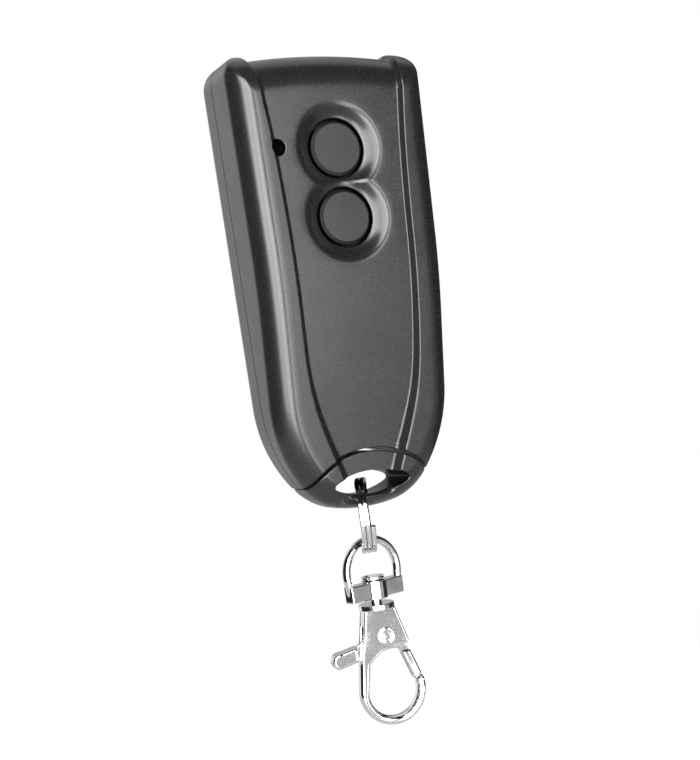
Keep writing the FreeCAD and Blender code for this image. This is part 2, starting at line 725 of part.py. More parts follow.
def make_button(name, height):
    body = new_body(name)
    cap = new_sketch(body, name + "_profile", "YZ_Plane")
    face = f"({panel_face()} - button_sink)"
    seat = f"({inner_face()} - running_gap)"
    half = "(button_across / 2)"
    stem_end = "-(board_front + switch_tall + plunger_proud + running_gap)"
    loop(cap, [
        (f"-{face}", height),
        (f"-{face}", f"{height} + {half} - button_edge"),
        (f"-({face} - button_edge)", f"{height} + {half}"),
        (f"-{seat}", f"{height} + {half}"),
        (f"-{seat}", f"{height} + button_flange / 2"),
        (f"-({seat} - flange_thick)", f"{height} + button_flange / 2"),
        (f"-({seat} - flange_thick)", f"{height} + {half} - 0.8"),
        (f"-({face} - 1.1)", f"{height} + {half} - 0.8"),
        (f"-({face} - 1.1)", f"{height} + button_stem / 2"),
        (stem_end, f"{height} + button_stem / 2"),
        (stem_end, height),
    ])
    turned_about(body, cap, height, "Revolution")


def make_switch(name, height):
    body = new_body(name + "_switch_body")
    case = new_sketch(body, name + "_case", "XZ_Plane", "board_front")
    half = "(switch_size / 2)"
    cut = "(switch_size / 2 - 0.7)"
    loop(case, [
        (f"-{half}", f"{height} - {cut}"), (f"-{cut}", f"{height} - {half}"),
        (cut, f"{height} - {half}"), (half, f"{height} - {cut}"),
        (half, f"{height} + {cut}"), (cut, f"{height} + {half}"),
        (f"-{cut}", f"{height} + {half}"), (f"-{half}", f"{height} + {cut}"),
    ])
    pad(body, case, "switch_tall")
    floor = "board_front + switch_tall - plunger_deep - button_travel - running_gap"
    bore = new_sketch(body, name + "_bore", "XZ_Plane", floor)
    circle(bore, "0", height, "plunger_across / 2 + running_gap")
    pocket(body, bore, "switch_tall", forwards=True)
    body = new_body(name + "_switch_plunger")
    rod = new_sketch(body, name + "_rod", "XZ_Plane", "board_front + switch_tall - plunger_deep")
    circle(rod, "0", height, "plunger_across / 2")
    pad(body, rod, "plunger_deep + plunger_proud")


def make_light_pipe():
    body = new_body("led_light_pipe")
    rod = new_sketch(body, "pipe_rod", "XZ_Plane", "board_front + 1")
    circle(rod, "-led_across", "led_height", "led_hole / 2 - running_gap")
    pad(body, rod, f"{panel_face()} - pipe_sink - board_front - 1")
    rim = new_sketch(body, "pipe_rim", "XZ_Plane", "board_front + 1")
    circle(rim, "-led_across", "led_height", "pipe_flange / 2")
    pad(body, rim, f"{inner_face()} - running_gap - board_front - 1")


def make_circuit_board():
    body = new_body("circuit_board")
    board = new_sketch(body, "board", "XZ_Plane", "board_front - board_thick")
    board_outline(board, "board_margin", "board_foot")
    pad(body, board, "board_thick")


def make_chip(name, across, up, wide, tall, thick):
    """A flat rectangular component on the board."""
    body = new_body(name)
    sketch = new_sketch(body, name + "_outline", "XZ_Plane", "board_front")
    rectangle(
        sketch, f"{across} - {wide} / 2", f"{across} + {wide} / 2",
        f"{up} - {tall} / 2", f"{up} + {tall} / 2",
    )
    pad(body, sketch, str(thick))
    return body


def make_legs(body, name, across, up, wide, pitch, count):
    """Two rows of flat pins along the long sides of a chip."""
    sketch = new_sketch(body, name + "_pins", "XZ_Plane", "board_front")
    for side in (-1, 1):
        for number in range(count):
            level = f"{up} + {(number - (count - 1) / 2) * pitch}"
            near = f"{across} + {side} * ({wide} / 2 - 0.1)"
            far = f"{across} + {side} * ({wide} / 2 + 0.8)"
            left, right = (near, far) if side > 0 else (far, near)
            rectangle(sketch, left, right, f"{level} - 0.2", f"{level} + 0.2")
    pad(body, sketch, "chip_tall * 0.4")


SMALL_PARTS = [
    (-9.6, 1.5), (-9.6, -1.5), (-9.6, -8), (-1, -9.5),
    (1.6, -9.5), (4.2, -9.5), (10.4, 10), (10.4, 12.5),
]


def make_components():
    chip = make_chip("microcontroller", "-5.2", "-4.5", 4, 5, "chip_tall")
    make_legs(chip, "microcontroller", "-5.2", "-4.5", 4, 1.27, 4)
    radio = make_chip("radio_chip", "3.6", "-4", 3.6, 3.6, "chip_tall * 0.85")
    make_legs(radio, "radio_chip", "3.6", "-4", 3.6, 0.95, 3)
    make_chip("timing_crystal", "9.6", "-3.5", 2.5, 3.2, "chip_tall * 0.8")
    make_chip("status_led", "-led_across", "led_height", 1.6, 0.9, "chip_tall * 0.8")
    trimmer = new_body("antenna_trimmer")
    disc = new_sketch(trimmer, "trimmer_disc", "XZ_Plane", "board_front")
    circle(disc, "9", "-9.5", "1.5")
    pad(trimmer, disc, "chip_tall")
    small = new_body("resistors_and_capacitors")
    for number, (across, up) in enumerate(SMALL_PARTS):
        sketch = new_sketch(small, f"chip_part_{number}", "XZ_Plane", "board_front")
        rectangle(sketch, f"{across} - 0.8", f"{across} + 0.8", f"{up} - 0.45", f"{up} + 0.45")
        pad(small, sketch, "chip_tall * 0.5")


def make_coin_cell():
    body = new_body("coin_cell")
    can = new_sketch(body, "cell_can", "XZ_Plane", "cell_back")
    circle(can, "0", "cell_height", "cell_across / 2")
    pad(body, can, "cell_thick * 0.85")
    lid = new_sketch(body, "cell_lid", "XZ_Plane", "cell_back")
    circle(lid, "0", "cell_height", "cell_across / 2 - 1.2")
    pad(body, lid, "cell_thick")


def make_contacts():
    board_back = "(board_front - board_thick)"
    cell_front = "(cell_back + cell_thick)"
    body = new_body("negative_contact")
    leaf = new_sketch(body, "negative_leaf", "XY_Plane", "cell_height - 1.5")
    loop(leaf, [
        ("-4", f"-{board_back}"), ("4", f"-{board_back}"),
        ("4", f"-({board_back} - leaf_thick)"), ("2.4", f"-({board_back} - leaf_thick)"),
        ("0.9", f"-({cell_front} + running_gap)"), ("-0.9", f"-({cell_front} + running_gap)"),
        ("-2.4", f"-({board_back} - leaf_thick)"), ("-4", f"-({board_back} - leaf_thick)"),
    ])
    pad(body, leaf, "3")
    body = new_body("positive_contact")
    strip = new_sketch(body, "positive_strip", "YZ_Plane")
    edge = "(cell_height + cell_across / 2 + running_gap)"
    loop(strip, [
        (f"-{board_back}", edge), (f"-{board_back}", f"{edge} + 2.2"),
        (f"-({board_back} - leaf_thick)", f"{edge} + 2.2"),
        (f"-({board_back} - leaf_thick)", f"{edge} + leaf_thick"),
        ("-(cell_back + 0.6)", f"{edge} + leaf_thick"), ("-(cell_back + 0.6)", edge),
    ])
    pad(body, strip, "3", midplane=True)


# Key ring and snap hook


RING_SPANS = [("level", 210), ("jog", 60), ("level", 300), ("jog", 60), ("level", 150)]
JOG_STEPS = 6


def wire_section(radius):
    """The ring wire's section at a distance from the ring's axis: a square with flat corners."""
    half, edge = size("wire / 2"), size("wire_edge")
    flat = half - edge
    corners = [
        (half, -flat), (half, flat), (flat, half), (-flat, half),
        (-half, flat), (-half, -flat), (-flat, -half), (flat, -half),
    ]
    points = [V(radius + across, 0, up) for across, up in corners]
    return Part.makePolygon(points + points[:1])


def wire_jog(section, degrees, fall):
    """A stretch of the ring that steps down smoothly from one level to the next."""
    cuts = []
    for step in range(JOG_STEPS + 1):
        share = step / JOG_STEPS
        cut = section.copy()
        cut.translate(V(0, 0, -fall * share ** 2 * (3 - 2 * share)))
        cut.rotate(V(0, 0, 0), UP, degrees * share)
        cuts.append(cut)
    return Part.makeLoft(cuts, True, False)


def make_split_ring():
    """Level coils of wire that touch side by side, joined by short jogs, with two cut ends."""
    section = wire_section(size("ring_across / 2 - wire / 2"))
    pitch = size("wire + coil_gap")
    stretches = []
    angle, level = size("ring_start"), pitch
    for kind, degrees in RING_SPANS:
        if kind == "level":
            stretch = Part.Face(section).revolve(V(0, 0, 0), UP, degrees)
        else:
            stretch = wire_jog(section, degrees, pitch)
        stretch.rotate(V(0, 0, 0), UP, angle)
        stretch.translate(V(0, 0, level))
        stretches.append(stretch)
        angle += degrees
        level -= pitch if kind == "jog" else 0
    part = doc.addObject("Part::Feature", "split_ring")
    part.Label = "split_ring"
    part.Shape = stretches[0].multiFuse(stretches[1:]).removeSplitter()
    centre = V(0, -size("chain_depth"), -size("ring_height"))
    lying = FreeCAD.Rotation(V(0, 1, 0), 90)
    part.Placement = FreeCAD.Placement(centre, FreeCAD.Rotation(UP, size("ring_yaw")) * lying)
    finished.append(part)


def make_swivel_bail():
    body = new_body("swivel_bail", "chain_depth", "bail_yaw")
    arch = new_sketch(body, "bail_outline", "XZ_Plane")
    centre = "-bail_height"
    outer = "(bail_inner + bail_stock)"
    loop(arch, [
        ("band_half", "-bail_foot"),
        ("-band_half", "-bail_foot"),
        (f"-{outer} * cos(bail_lean * 1 deg)", f"{centre} - {outer} * sin(bail_lean * 1 deg)", outer, 2),
        (f"{outer} * cos(bail_lean * 1 deg)", f"{centre} - {outer} * sin(bail_lean * 1 deg)"),
    ])
    pad(body, arch, "bail_deep", midplane=True)
    window = new_sketch(body, "bail_window", "XZ_Plane")
    across = "bail_inner * cos(bail_lean * 1 deg)"
    level = f"{centre} - bail_inner * sin(bail_lean * 1 deg)"
    loop(window, [
        ("band_inner", "band_tall - bail_foot"),
        ("-band_inner", "band_tall - bail_foot"),
        (f"-{across}", level, "bail_inner", 2),
        (across, level),
    ])
    pocket(body, window)

    def arris(edge):
        return abs(abs(middle_of(edge).y) - size("bail_deep / 2")) < 0.01

    dressed(body, "Chamfer", "Size", "bail_edge", arris)
    hub = new_sketch(body, "bail_hub", "XY_Plane", "-bail_foot - 0.05")
    circle(hub, "0", "0", "hub_across / 2")
    pad(body, hub, "hub_tall")
    bore = new_sketch(body, "bail_bore", "XY_Plane", "-bail_foot - 1")
    circle(bore, "0", "0", "rivet_shank / 2 + running_gap")
    cut = body.newObject("PartDesign::Pocket", "bail_bore_cut")
    cut.Profile = bore
    cut.Reversed = True
    bind(cut, "Length", "hub_tall + 2")
    settle(body, cut, False)


def make_swivel_rivet():
    """Revolved rivet: a dished head on the hub, and a shank down into the hook."""
    body = new_body("swivel_rivet", "chain_depth", "hook_yaw")
    profile = new_sketch(body, "rivet_profile", "XZ_Plane")
    seat = "(hub_tall - 0.05 - bail_foot + running_gap)"
    top = f"({seat} + rivet_head_tall)"
    foot = "-(bail_foot + collar_gap + collar_tall + 1.1)"
    loop(profile, [
        ("0", foot), ("rivet_shank / 2", foot), ("rivet_shank / 2", seat),
        ("rivet_head / 2 - 0.3", seat), ("rivet_head / 2", f"{seat} + 0.25"),
        ("rivet_head / 2", top), ("rivet_head / 2 - 0.35", top),
        ("rivet_shank / 2 - 0.2", f"{top} - rivet_cup"), ("0", f"{top} - rivet_cup"),
    ])
    turned(body, profile, "Revolution")


def loop_point(radius, angle):
    """A point on a circle about the hook loop's centre, angle from +X towards +Z."""
    return (
        f"(loop_x + ({radius}) * cos({angle} deg))",
        f"(-loop_height + ({radius}) * sin({angle} deg))",
    )


NOSE_OUTER, NOSE_INNER = 18, 13
HEEL_OUTER, HEEL_INNER = 176, 184


def make_hook_body():
    body = new_body("hook_body", "chain_depth", "hook_yaw")
    collar_top = "-(bail_foot + collar_gap)"
    plate_top = "-(bail_foot + collar_gap + collar_tall - 0.1)"
    flat = new_sketch(body, "hook_loop", "XZ_Plane")
    loop(flat, [
        ("-2.3", "-(loop_height - 7.4)"),
        ("-4", "-(loop_height - 5.2)"),
        (*loop_point("loop_outer", HEEL_OUTER), "loop_outer", -2),
        loop_point("loop_outer", NOSE_OUTER),
        (*loop_point("loop_inner", NOSE_INNER), "loop_inner", 2),
        loop_point("loop_inner", HEEL_INNER),
        ("-2.35", "-(loop_height - 4.6)"),
        ("-0.6", "-(loop_height - 6.4)"),
        ("1.2", "-(loop_height - 6.9)"),
        ("1.2", "-(loop_height - 7.4)"),
    ])
    pad(body, flat, "loop_deep", midplane=True)

    def loop_arris(edge):
        on_face = abs(abs(middle_of(edge).y) - size("loop_deep / 2")) < 0.01
        return on_face and edge.Curve.TypeId == "Part::GeomCircle"

    dressed(body, "Chamfer", "Size", "hook_edge", loop_arris)
    plate = new_sketch(body, "hook_plate", "XZ_Plane")
    loop(plate, [
        ("-2.45", plate_top),
        ("-3.2", "-(pivot_height + 0.1)"),
        ("-4", "-(pivot_height + 3.6)"),
        ("-2.7", "-(pivot_height + 3.9)"),
        ("-0.6", "-(loop_height - 6.5)", "6", 1),
        ("2.9", "-(pivot_height + 2.2)"),
        ("4.15", "-(pivot_height + 1.2)"),
        ("2.55", plate_top),
    ])
    pad(body, plate, "plate_deep", midplane=True)

    def plate_arris(edge):
        spot = middle_of(edge)
        on_face = abs(abs(spot.y) - size("plate_deep / 2")) < 0.01
        return on_face and abs(spot.x) > 1.6 and spot.z > -size("pivot_height + 2")

    rounded(body, "hook_edge", plate_arris)
    slot = new_sketch(body, "gate_slot", "XZ_Plane")
    loop(slot, [
        ("-7", "-(pivot_height - gate_hub - 0.25)"),
        ("-7", "-(pivot_height + 3.3)"),
        ("-1.9", "-(pivot_height + 3.3)"),
        ("-1.9", "-(pivot_height + 5)"),
        ("7", "-(pivot_height + 5)"),
        ("7", "-(pivot_height - gate_hub - 0.25)"),
    ])
    cut = body.newObject("PartDesign::Pocket", "gate_slot_cut")
    cut.Profile = slot
    cut.Midplane = True
    bind(cut, "Length", "slot_gap")
    settle(body, cut, False)
    collar = new_sketch(body, "hook_collar", "XY_Plane", f"{collar_top} - collar_tall")
    circle(collar, "0", "0", "collar_across / 2")
    pad(body, collar, "collar_tall")
    bore = new_sketch(body, "swivel_bore", "XY_Plane", f"{collar_top} - collar_tall - 1.1 - running_gap")
    circle(bore, "0", "0", "rivet_shank / 2 + running_gap / 2")
    cut = body.newObject("PartDesign::Pocket", "swivel_bore_cut")
    cut.Profile = bore
    cut.Reversed = True
    bind(cut, "Length", "collar_tall + 3")
    settle(body, cut, False)
    pivot = new_sketch(body, "pivot_bore", "XZ_Plane")
    circle(pivot, "pivot_x", "-pivot_height", "pivot_across / 2 + running_gap / 2")
    pocket(body, pivot)


def make_gate_lever():
    """One lever: hub on the pivot, thumb tab to the left, gate arm down to the nose."""
    body = new_body("gate_lever", "chain_depth", "hook_yaw")
    web = new_sketch(body, "gate_web_outline", "XZ_Plane", "gate_offset - gate_web / 2")
    tip_in = (
        "(loop_x + (loop_inner - 0.1) * cos(14.5 deg) - 0.1)",
        "(-loop_height + loop_inner * sin(17.5 deg))",
    )
    tip_out = (
        "(loop_x + (loop_outer - 0.05) * cos(20.5 deg) - 0.1)",
        "(-loop_height + loop_outer * sin(21 deg))",
    )
    tab_top = ("-7", "-(pivot_height + 1.5)")
    tab_low = ("-7.5", "-(pivot_height + 4.05)")
    neck_top = ("-4.2", "-(pivot_height + 0.95)")
    neck_low = ("-4.2", "-(pivot_height + 3.3)")
    arm_in = ("2.75", "-(pivot_height + 2.75)")
    arm_out = ("4.25", "-(pivot_height + 2.75)")
    loop(web, [
        ("0.2", "-(pivot_height - gate_hub + 0.15)"),
        neck_top, tab_top, tab_low, neck_low,
        ("-0.6", "-(pivot_height + 1.6)"),
        ("1.3", "-(pivot_height + 1.5)"),
        arm_in, tip_in, tip_out, arm_out,
        ("2.1", "-(pivot_height - 0.5)"),
    ])
    pad(body, web, "gate_web")
    hub = new_sketch(body, "gate_hub_disc", "XZ_Plane", "gate_offset - gate_web / 2")
    circle(hub, "pivot_x", "-pivot_height", "gate_hub")
    pad(body, hub, "gate_web")
    arm = new_sketch(body, "gate_arm", "XZ_Plane")
    loop(arm, [arm_in, tip_in, tip_out, arm_out])
    pad(body, arm, "gate_deep", midplane=True)
    tab = new_sketch(body, "thumb_tab", "XZ_Plane")
    loop(tab, [neck_top, (*tab_top, "1.35", -1), tab_low, neck_low])
    pad(body, tab, "tab_deep", midplane=True)
    bore = new_sketch(body, "gate_bore", "XZ_Plane")
    circle(bore, "pivot_x", "-pivot_height", "pivot_across / 2 + running_gap")
    pocket(body, bore)


def make_gate_rivet():
    body = new_body("gate_rivet", "chain_depth", "hook_yaw")
    shank = new_sketch(body, "pivot_shank", "XZ_Plane")
    circle(shank, "pivot_x", "-pivot_height", "pivot_across / 2")
    pad(body, shank, "plate_deep + 0.1", midplane=True)
    heads = (
        ("front", "plate_deep / 2 + 0.01"),
        ("back", "-plate_deep / 2 - 0.01 - gate_rivet_proud"),
    )
    for name, start in heads:
        head = new_sketch(body, f"pivot_{name}_head", "XZ_Plane", start)
        circle(head, "pivot_x", "-pivot_height", "gate_rivet_head / 2")
        pad(body, head, "gate_rivet_proud")
    cup = new_sketch(body, "pivot_cup", "XZ_Plane", "plate_deep / 2 + gate_rivet_proud - 0.15")
    circle(cup, "pivot_x", "-pivot_height", "gate_rivet_cup / 2")
    pocket(body, cup, "1", forwards=True)


def make_gate_spring():
    """One turn of wire round the pivot with two legs, beside the lever's web."""
    body = new_body("gate_spring", "chain_depth", "hook_yaw")
    beside = "(gate_offset - gate_web / 2 - spring_wire / 2 - running_gap)"
    radius = "(spring_across / 2)"
    turns = [
        ("pivot_x - spring_leg", f"{radius} - pivot_height"),
        ("pivot_x", f"{radius} - pivot_height", 1),
        (f"pivot_x + {radius}", "-pivot_height", 1),
        ("pivot_x", f"-{radius} - pivot_height"),
        ("pivot_x - spring_leg", f"-{radius} - pivot_height"),
    ]
    path = new_sketch(body, "spring_path", "XZ_Plane", beside)
    centre = V(size("pivot_x"), -size("pivot_height"), 0)
    for start, end in zip(turns, turns[1:]):
        a = V(size(start[0]), size(start[1]), 0)
        b = V(size(end[0]), size(end[1]), 0)
        if len(start) == 2:
            item = path.addGeometry(Part.LineSegment(a, b), False)
            first, last = 1, 2
        else:
            bulge = centre + V((a + b) * 0.5 - centre).normalize() * size(radius)
            item = path.addGeometry(Part.Arc(a, bulge, b), False)
            first, last = 2, 1
            drive(path, Sketcher.Constraint("Radius", item, size(radius)), radius)
        pin_point(path, item, first, start[0], start[1])
        pin_point(path, item, last, end[0], end[1])
    section = new_sketch(body, "spring_section", "YZ_Plane", "pivot_x - spring_leg")
    circle(section, f"-{beside}", f"{radius} - pivot_height", "spring_wire / 2")
    doc.recompute()
    feature = body.newObject("PartDesign::AdditivePipe", "spring_wire_pipe")
    feature.Profile = section
    feature.Spine = (path, [f"Edge{number}" for number in range(1, len(turns))])
    settle(body, feature, True)


make_front_shell()
make_rear_shell()
make_battery_cover()
make_keyring_cap()
make_housing_screw()
make_button("upper_button", "button_height")
make_button("lower_button", "(button_height - button_pitch)")
make_switch("upper", "button_height")
make_switch("lower", "(button_height - button_pitch)")
make_light_pipe()
make_circuit_board()
make_components()
make_coin_cell()
make_contacts()
make_split_ring()
make_swivel_bail()
make_swivel_rivet()
make_hook_body()
make_gate_lever()
make_gate_rivet()
make_gate_spring()
doc.recompute()

for item in doc.Objects:
    if "Invalid" in item.State or "Error" in item.State:
        raise RuntimeError(f"{item.Name} did not recompute: {item.State}")
os.makedirs("parts", exist_ok=True)
for item in finished:
    shape = item.Shape
    if shape.isNull() or not shape.isValid() or not shape.Solids:
        raise RuntimeError(f"{item.Label} has no valid solid")
for item in finished:
    item.Shape.exportStep(f"parts/{item.Label}.step")
    print(item.Label, len(item.Shape.Solids), round(item.Shape.Volume, 2))
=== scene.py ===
"""Looks of the garage door remote: housing, buttons, key ring and snap hook, with studio and camera."""
import json
import math

import bpy
import numpy as np
from mathutils import Matrix, Vector
from mathutils.geometry import delaunay_2d_cdt


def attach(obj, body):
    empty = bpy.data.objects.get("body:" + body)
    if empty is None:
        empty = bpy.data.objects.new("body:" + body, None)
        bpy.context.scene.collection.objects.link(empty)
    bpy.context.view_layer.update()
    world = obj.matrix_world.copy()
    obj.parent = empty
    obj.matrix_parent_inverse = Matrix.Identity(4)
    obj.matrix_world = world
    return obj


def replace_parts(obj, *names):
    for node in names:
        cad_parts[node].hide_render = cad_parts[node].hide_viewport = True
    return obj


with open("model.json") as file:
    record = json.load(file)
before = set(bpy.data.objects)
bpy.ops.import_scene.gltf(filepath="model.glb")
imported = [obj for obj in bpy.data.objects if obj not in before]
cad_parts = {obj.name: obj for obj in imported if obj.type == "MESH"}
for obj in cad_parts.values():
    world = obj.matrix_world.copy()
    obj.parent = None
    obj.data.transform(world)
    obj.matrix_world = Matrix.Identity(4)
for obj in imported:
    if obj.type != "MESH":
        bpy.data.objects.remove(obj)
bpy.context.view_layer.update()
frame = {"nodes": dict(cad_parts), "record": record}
nodes = frame["nodes"]
MM = 0.001

# Sizes of the housing, in millimetres: depth counts forward from the back face, height from the middle

LENGTH, WIDTH, THICK = 70.5, 32.4, 14.0
TOP = LENGTH / 2
TOP_CORNER, TAIL_HEIGHT, TAIL_INSET = 4.0, 17.5, 1.15
SIDE_ARC, CORNER_ARC, END_ARC = 23.0, 9.3, 25.0
SLOPE_START, SLOPE_RISE, SLOPE_ARC = 6.0, 4.9, 90.0
BACK_SLOPE, BACK_RISE = 14.0, 1.6
FRONT_RIM, BACK_RIM, ROLL = 3.5, 2.0, 7.0
PARTING, PARTING_GAP = 5.0, 0.12
PANEL_DROP, RAIL_SLOPE, LEFT_SLOPE_MORE = 0.8, 0.54, 0.03
PANEL_ARCH, PANEL_SINK = 98.0, 0.05
PANEL_CENTRE = TOP - PANEL_SINK - PANEL_ARCH
CAP_APEX, CAP_ARC, CAP_GAP = 9.2, 14.1, 0.45
SPLIT_Z = CAP_APEX - TOP - CAP_ARC
SPLIT_ROUND = 0.2
EYE_WIDE, EYE_TALL, EYE_TIP = 13.9, 3.6, 1.1
BAR_THICK, BAR_ROUND, FLARE = 2.15, 0.6, 1.2
EYE_Z = BAR_THICK + EYE_TALL / 2 - TOP
BAR_Z = BAR_THICK + 0.5 - TOP
BUTTON_TOP, BUTTON_PITCH, BUTTON_ACROSS, BUTTON_GAP = TOP - 15.3, 10.55, 8.3, 0.5
BUTTONS = [(0.0, BUTTON_TOP), (0.0, BUTTON_TOP - BUTTON_PITCH)]
BUTTON_HOLE = BUTTON_ACROSS / 2 + BUTTON_GAP
DISH_ACROSS, DISH_FLOOR, DISH_DEPTH = 13.1, 9.7, 1.3
LED, LED_HOLE = (-10.1, TOP - 14.95), 1.25
HOLE_EDGE = 0.12
CHAIN = 4.75

# Materials


class Nodes:
    """Short hand for building a node tree."""

    def __init__(self, tree):
        self.tree = tree

    def add(self, kind, inputs=None, **settings):
        node = self.tree.nodes.new(kind)
        for name, value in settings.items():
            setattr(node, name, value)
        for name, value in (inputs or {}).items():
            self.feed(node.inputs[name], value)
        return node

    def feed(self, socket, value):
        if isinstance(value, bpy.types.Node):
            value = value.outputs[0]
        if isinstance(value, bpy.types.NodeSocket):
            self.tree.links.new(value, socket)
        else:
            socket.default_value = value

    def math(self, operation, *values, clamp=False):
        node = self.add("ShaderNodeMath", operation=operation, use_clamp=clamp)
        for socket, value in zip(node.inputs, values):
            self.feed(socket, value)
        return node.outputs[0]

    def ramp(self, value, low, high, out_low=0.0, out_high=1.0):
        node = self.add("ShaderNodeMapRange", interpolation_type="SMOOTHSTEP")
        for name, item in (("Value", value), ("From Min", low), ("From Max", high),
                           ("To Min", out_low), ("To Max", out_high)):
            self.feed(node.inputs[name], item)
        return node.outputs["Result"]

    def noise(self, scale, detail=2.0, rough=0.5, stretch=(1, 1, 1)):
        place = self.add("ShaderNodeTexCoord").outputs["Object"]
        if stretch != (1, 1, 1):
            place = self.add("ShaderNodeMapping", {"Vector": place, "Scale": stretch})
        return self.add("ShaderNodeTexNoise", {
            "Vector": place, "Scale": scale, "Detail": detail, "Roughness": rough,
        }).outputs["Fac"]

    def blend(self, share, one, two):
        node = self.add("ShaderNodeMix", data_type="RGBA")
        self.feed(node.inputs[0], share)
        self.feed(node.inputs[6], one)
        self.feed(node.inputs[7], two)
        return node.outputs[2]

    def edges(self, radius):
        """Near 1 on arrises within a radius, near 0 on faces."""
        bevel = self.add("ShaderNodeBevel", {"Radius": radius}, samples=4)
        normal = self.add("ShaderNodeNewGeometry").outputs["Normal"]
        dot = self.add("ShaderNodeVectorMath", operation="DOT_PRODUCT")
        self.feed(dot.inputs[0], bevel.outputs[0])
        self.feed(dot.inputs[1], normal)
        return self.ramp(dot.outputs["Value"], 0.99, 0.8)


def material(name, colour, rough, metal=0.0):
    mat = bpy.data.materials.new(name)
    mat.use_nodes = True
    shader = mat.node_tree.nodes["Principled BSDF"]
    shader.inputs["Base Color"].default_value = (*colour, 1)
    shader.inputs["Roughness"].default_value = rough
    shader.inputs["Metallic"].default_value = metal
    return mat, Nodes(mat.node_tree), shader


# Where shade is painted on the plastic: the eye's wall, the button and lamp holes, and the buttons' sides
# behind their faces
EYE_MASK_WIDE, EYE_MASK_TALL, EYE_MASK_Z, HOLE_MASK_FRONT = 7.6, 2.4, -31.2, -9.0
FACE_FRONT = -11.9
# Near-black colour of painted shade, for walls and holes that lie in shade
PAINTED_SHADE_BLACK = (0.002, 0.002, 0.002)


def painted_shade_walls(tree):
    """Mask of painted shade: 1 on the wall of the key ring's eye and in the button and lamp holes, 0 on the
    rest.
    """
    place = tree.add("ShaderNodeTexCoord").outputs["Object"]
    x, y, z = tree.add("ShaderNodeSeparateXYZ", {"Vector": place}).outputs
    normal = tree.add("ShaderNodeNewGeometry").outputs["True Normal"]
    lean = tree.add("ShaderNodeSeparateXYZ", {"Vector": normal}).outputs[1]
    side = tree.ramp(tree.math("ABSOLUTE", lean), 0.7, 0.3)
    span = tree.ramp(tree.math("ABSOLUTE", x), EYE_MASK_WIDE * MM, (EYE_MASK_WIDE - 0.6) * MM)
    height = tree.math("ABSOLUTE", tree.math("SUBTRACT", z, EYE_MASK_Z * MM))
    tall = tree.ramp(height, EYE_MASK_TALL * MM, (EYE_MASK_TALL - 0.3) * MM)
    share = tree.math("MULTIPLY", tree.math("MULTIPLY", side, span), tall)
    front = tree.ramp(y, HOLE_MASK_FRONT * MM, (HOLE_MASK_FRONT - 0.2) * MM)
    for (across, up), radius in [(spot, BUTTON_HOLE) for spot in BUTTONS] + [(LED, LED_HOLE)]:
        off_x, off_z = tree.math("SUBTRACT", x, across * MM), tree.math("SUBTRACT", z, up * MM)
        squares = tree.math("ADD", tree.math("POWER", off_x, 2.0), tree.math("POWER", off_z, 2.0))
        far = tree.math("SQRT", squares)
        near = tree.ramp(far, (radius + 0.04) * MM, (radius + 0.01) * MM)
        share = tree.math("MAXIMUM", share, tree.math("MULTIPLY", near, front))
    return share


def painted_shade_button_sides(tree):
    """Mask of painted shade: 1 on the buttons' sides behind their faces, 0 on the faces."""
    place = tree.add("ShaderNodeTexCoord").outputs["Object"]
    depth = tree.add("ShaderNodeSeparateXYZ", {"Vector": place}).outputs[1]
    return tree.ramp(depth, FACE_FRONT * MM, (FACE_FRONT + 0.3) * MM)


def paint_shade(mat, where):
    """Paints shade on a part of a plastic where the mask is 1: near-black colour and little gloss in place
    of the shade that falls there.
    """
    tree, shader = Nodes(mat.node_tree), mat.node_tree.nodes["Principled BSDF"]
    share = where(tree)
    plain = shader.inputs["Base Color"].links[0].from_socket
    tree.feed(shader.inputs["Base Color"], tree.blend(share, plain, (*PAINTED_SHADE_BLACK, 1)))
    gloss = shader.inputs["Specular IOR Level"]
    tree.feed(gloss, tree.ramp(share, 0.0, 1.0, gloss.default_value, 0.08))


def grained_plastic(name, colour, worn, rough, grain, depth):
    """Moulded plastic: a fine etched grain, slight clouding, and arrises rubbed lighter."""
    mat, tree, shader = material(name, colour, rough)
    fine = tree.noise(grain, 3.0, 0.6)
    cloud = tree.noise(grain / 60, 3.0)
    wear = tree.edges(0.12 * MM)
    dull = [channel * 0.86 for channel in colour]
    body = tree.blend(tree.ramp(cloud, 0.35, 0.65), (*dull, 1), (*colour, 1))
    speck = tree.blend(tree.ramp(fine, 0.3, 0.75), body, (*[c * 1.35 for c in colour], 1))
    tree.feed(shader.inputs["Base Color"], tree.blend(tree.math("MULTIPLY", wear, 0.5), speck, (*worn, 1)))
    spread = tree.ramp(fine, 0.3, 0.7, rough - 0.05, rough + 0.06)
    spread = tree.math("SUBTRACT", spread, tree.ramp(cloud, 0.4, 0.7, 0.0, 0.03))
    tree.feed(shader.inputs["Roughness"], tree.math("SUBTRACT", spread, tree.math("MULTIPLY", wear, 0.1)))
    bump = tree.add("ShaderNodeBump", {"Strength": 1.0, "Distance": depth, "Height": fine})
    tree.feed(shader.inputs["Normal"], bump)
    return mat


def plated(name, colour, rough, depth=0.0012 * MM):
    """Plated metal: soft unevenness of the polish, fine rubbing marks, duller in small patches."""
    mat, tree, shader = material(name, colour, rough, 1.0)
    wave = tree.math("ADD", tree.noise(700, 2.0), tree.math("MULTIPLY", tree.noise(110, 1.0), 300.0))
    haze = tree.noise(2600, 4.0, 0.65)
    tree.feed(shader.inputs["Roughness"], tree.ramp(haze, 0.4, 0.8, rough, rough + 0.06))
    dark = [channel * 0.94 for channel in colour]
    tree.feed(shader.inputs["Base Color"], tree.blend(tree.ramp(haze, 0.4, 0.8), (*colour, 1), (*dark, 1)))
    bump = tree.add("ShaderNodeBump", {"Strength": 1.0, "Distance": depth, "Height": wave})
    tree.feed(shader.inputs["Normal"], bump)
    return mat


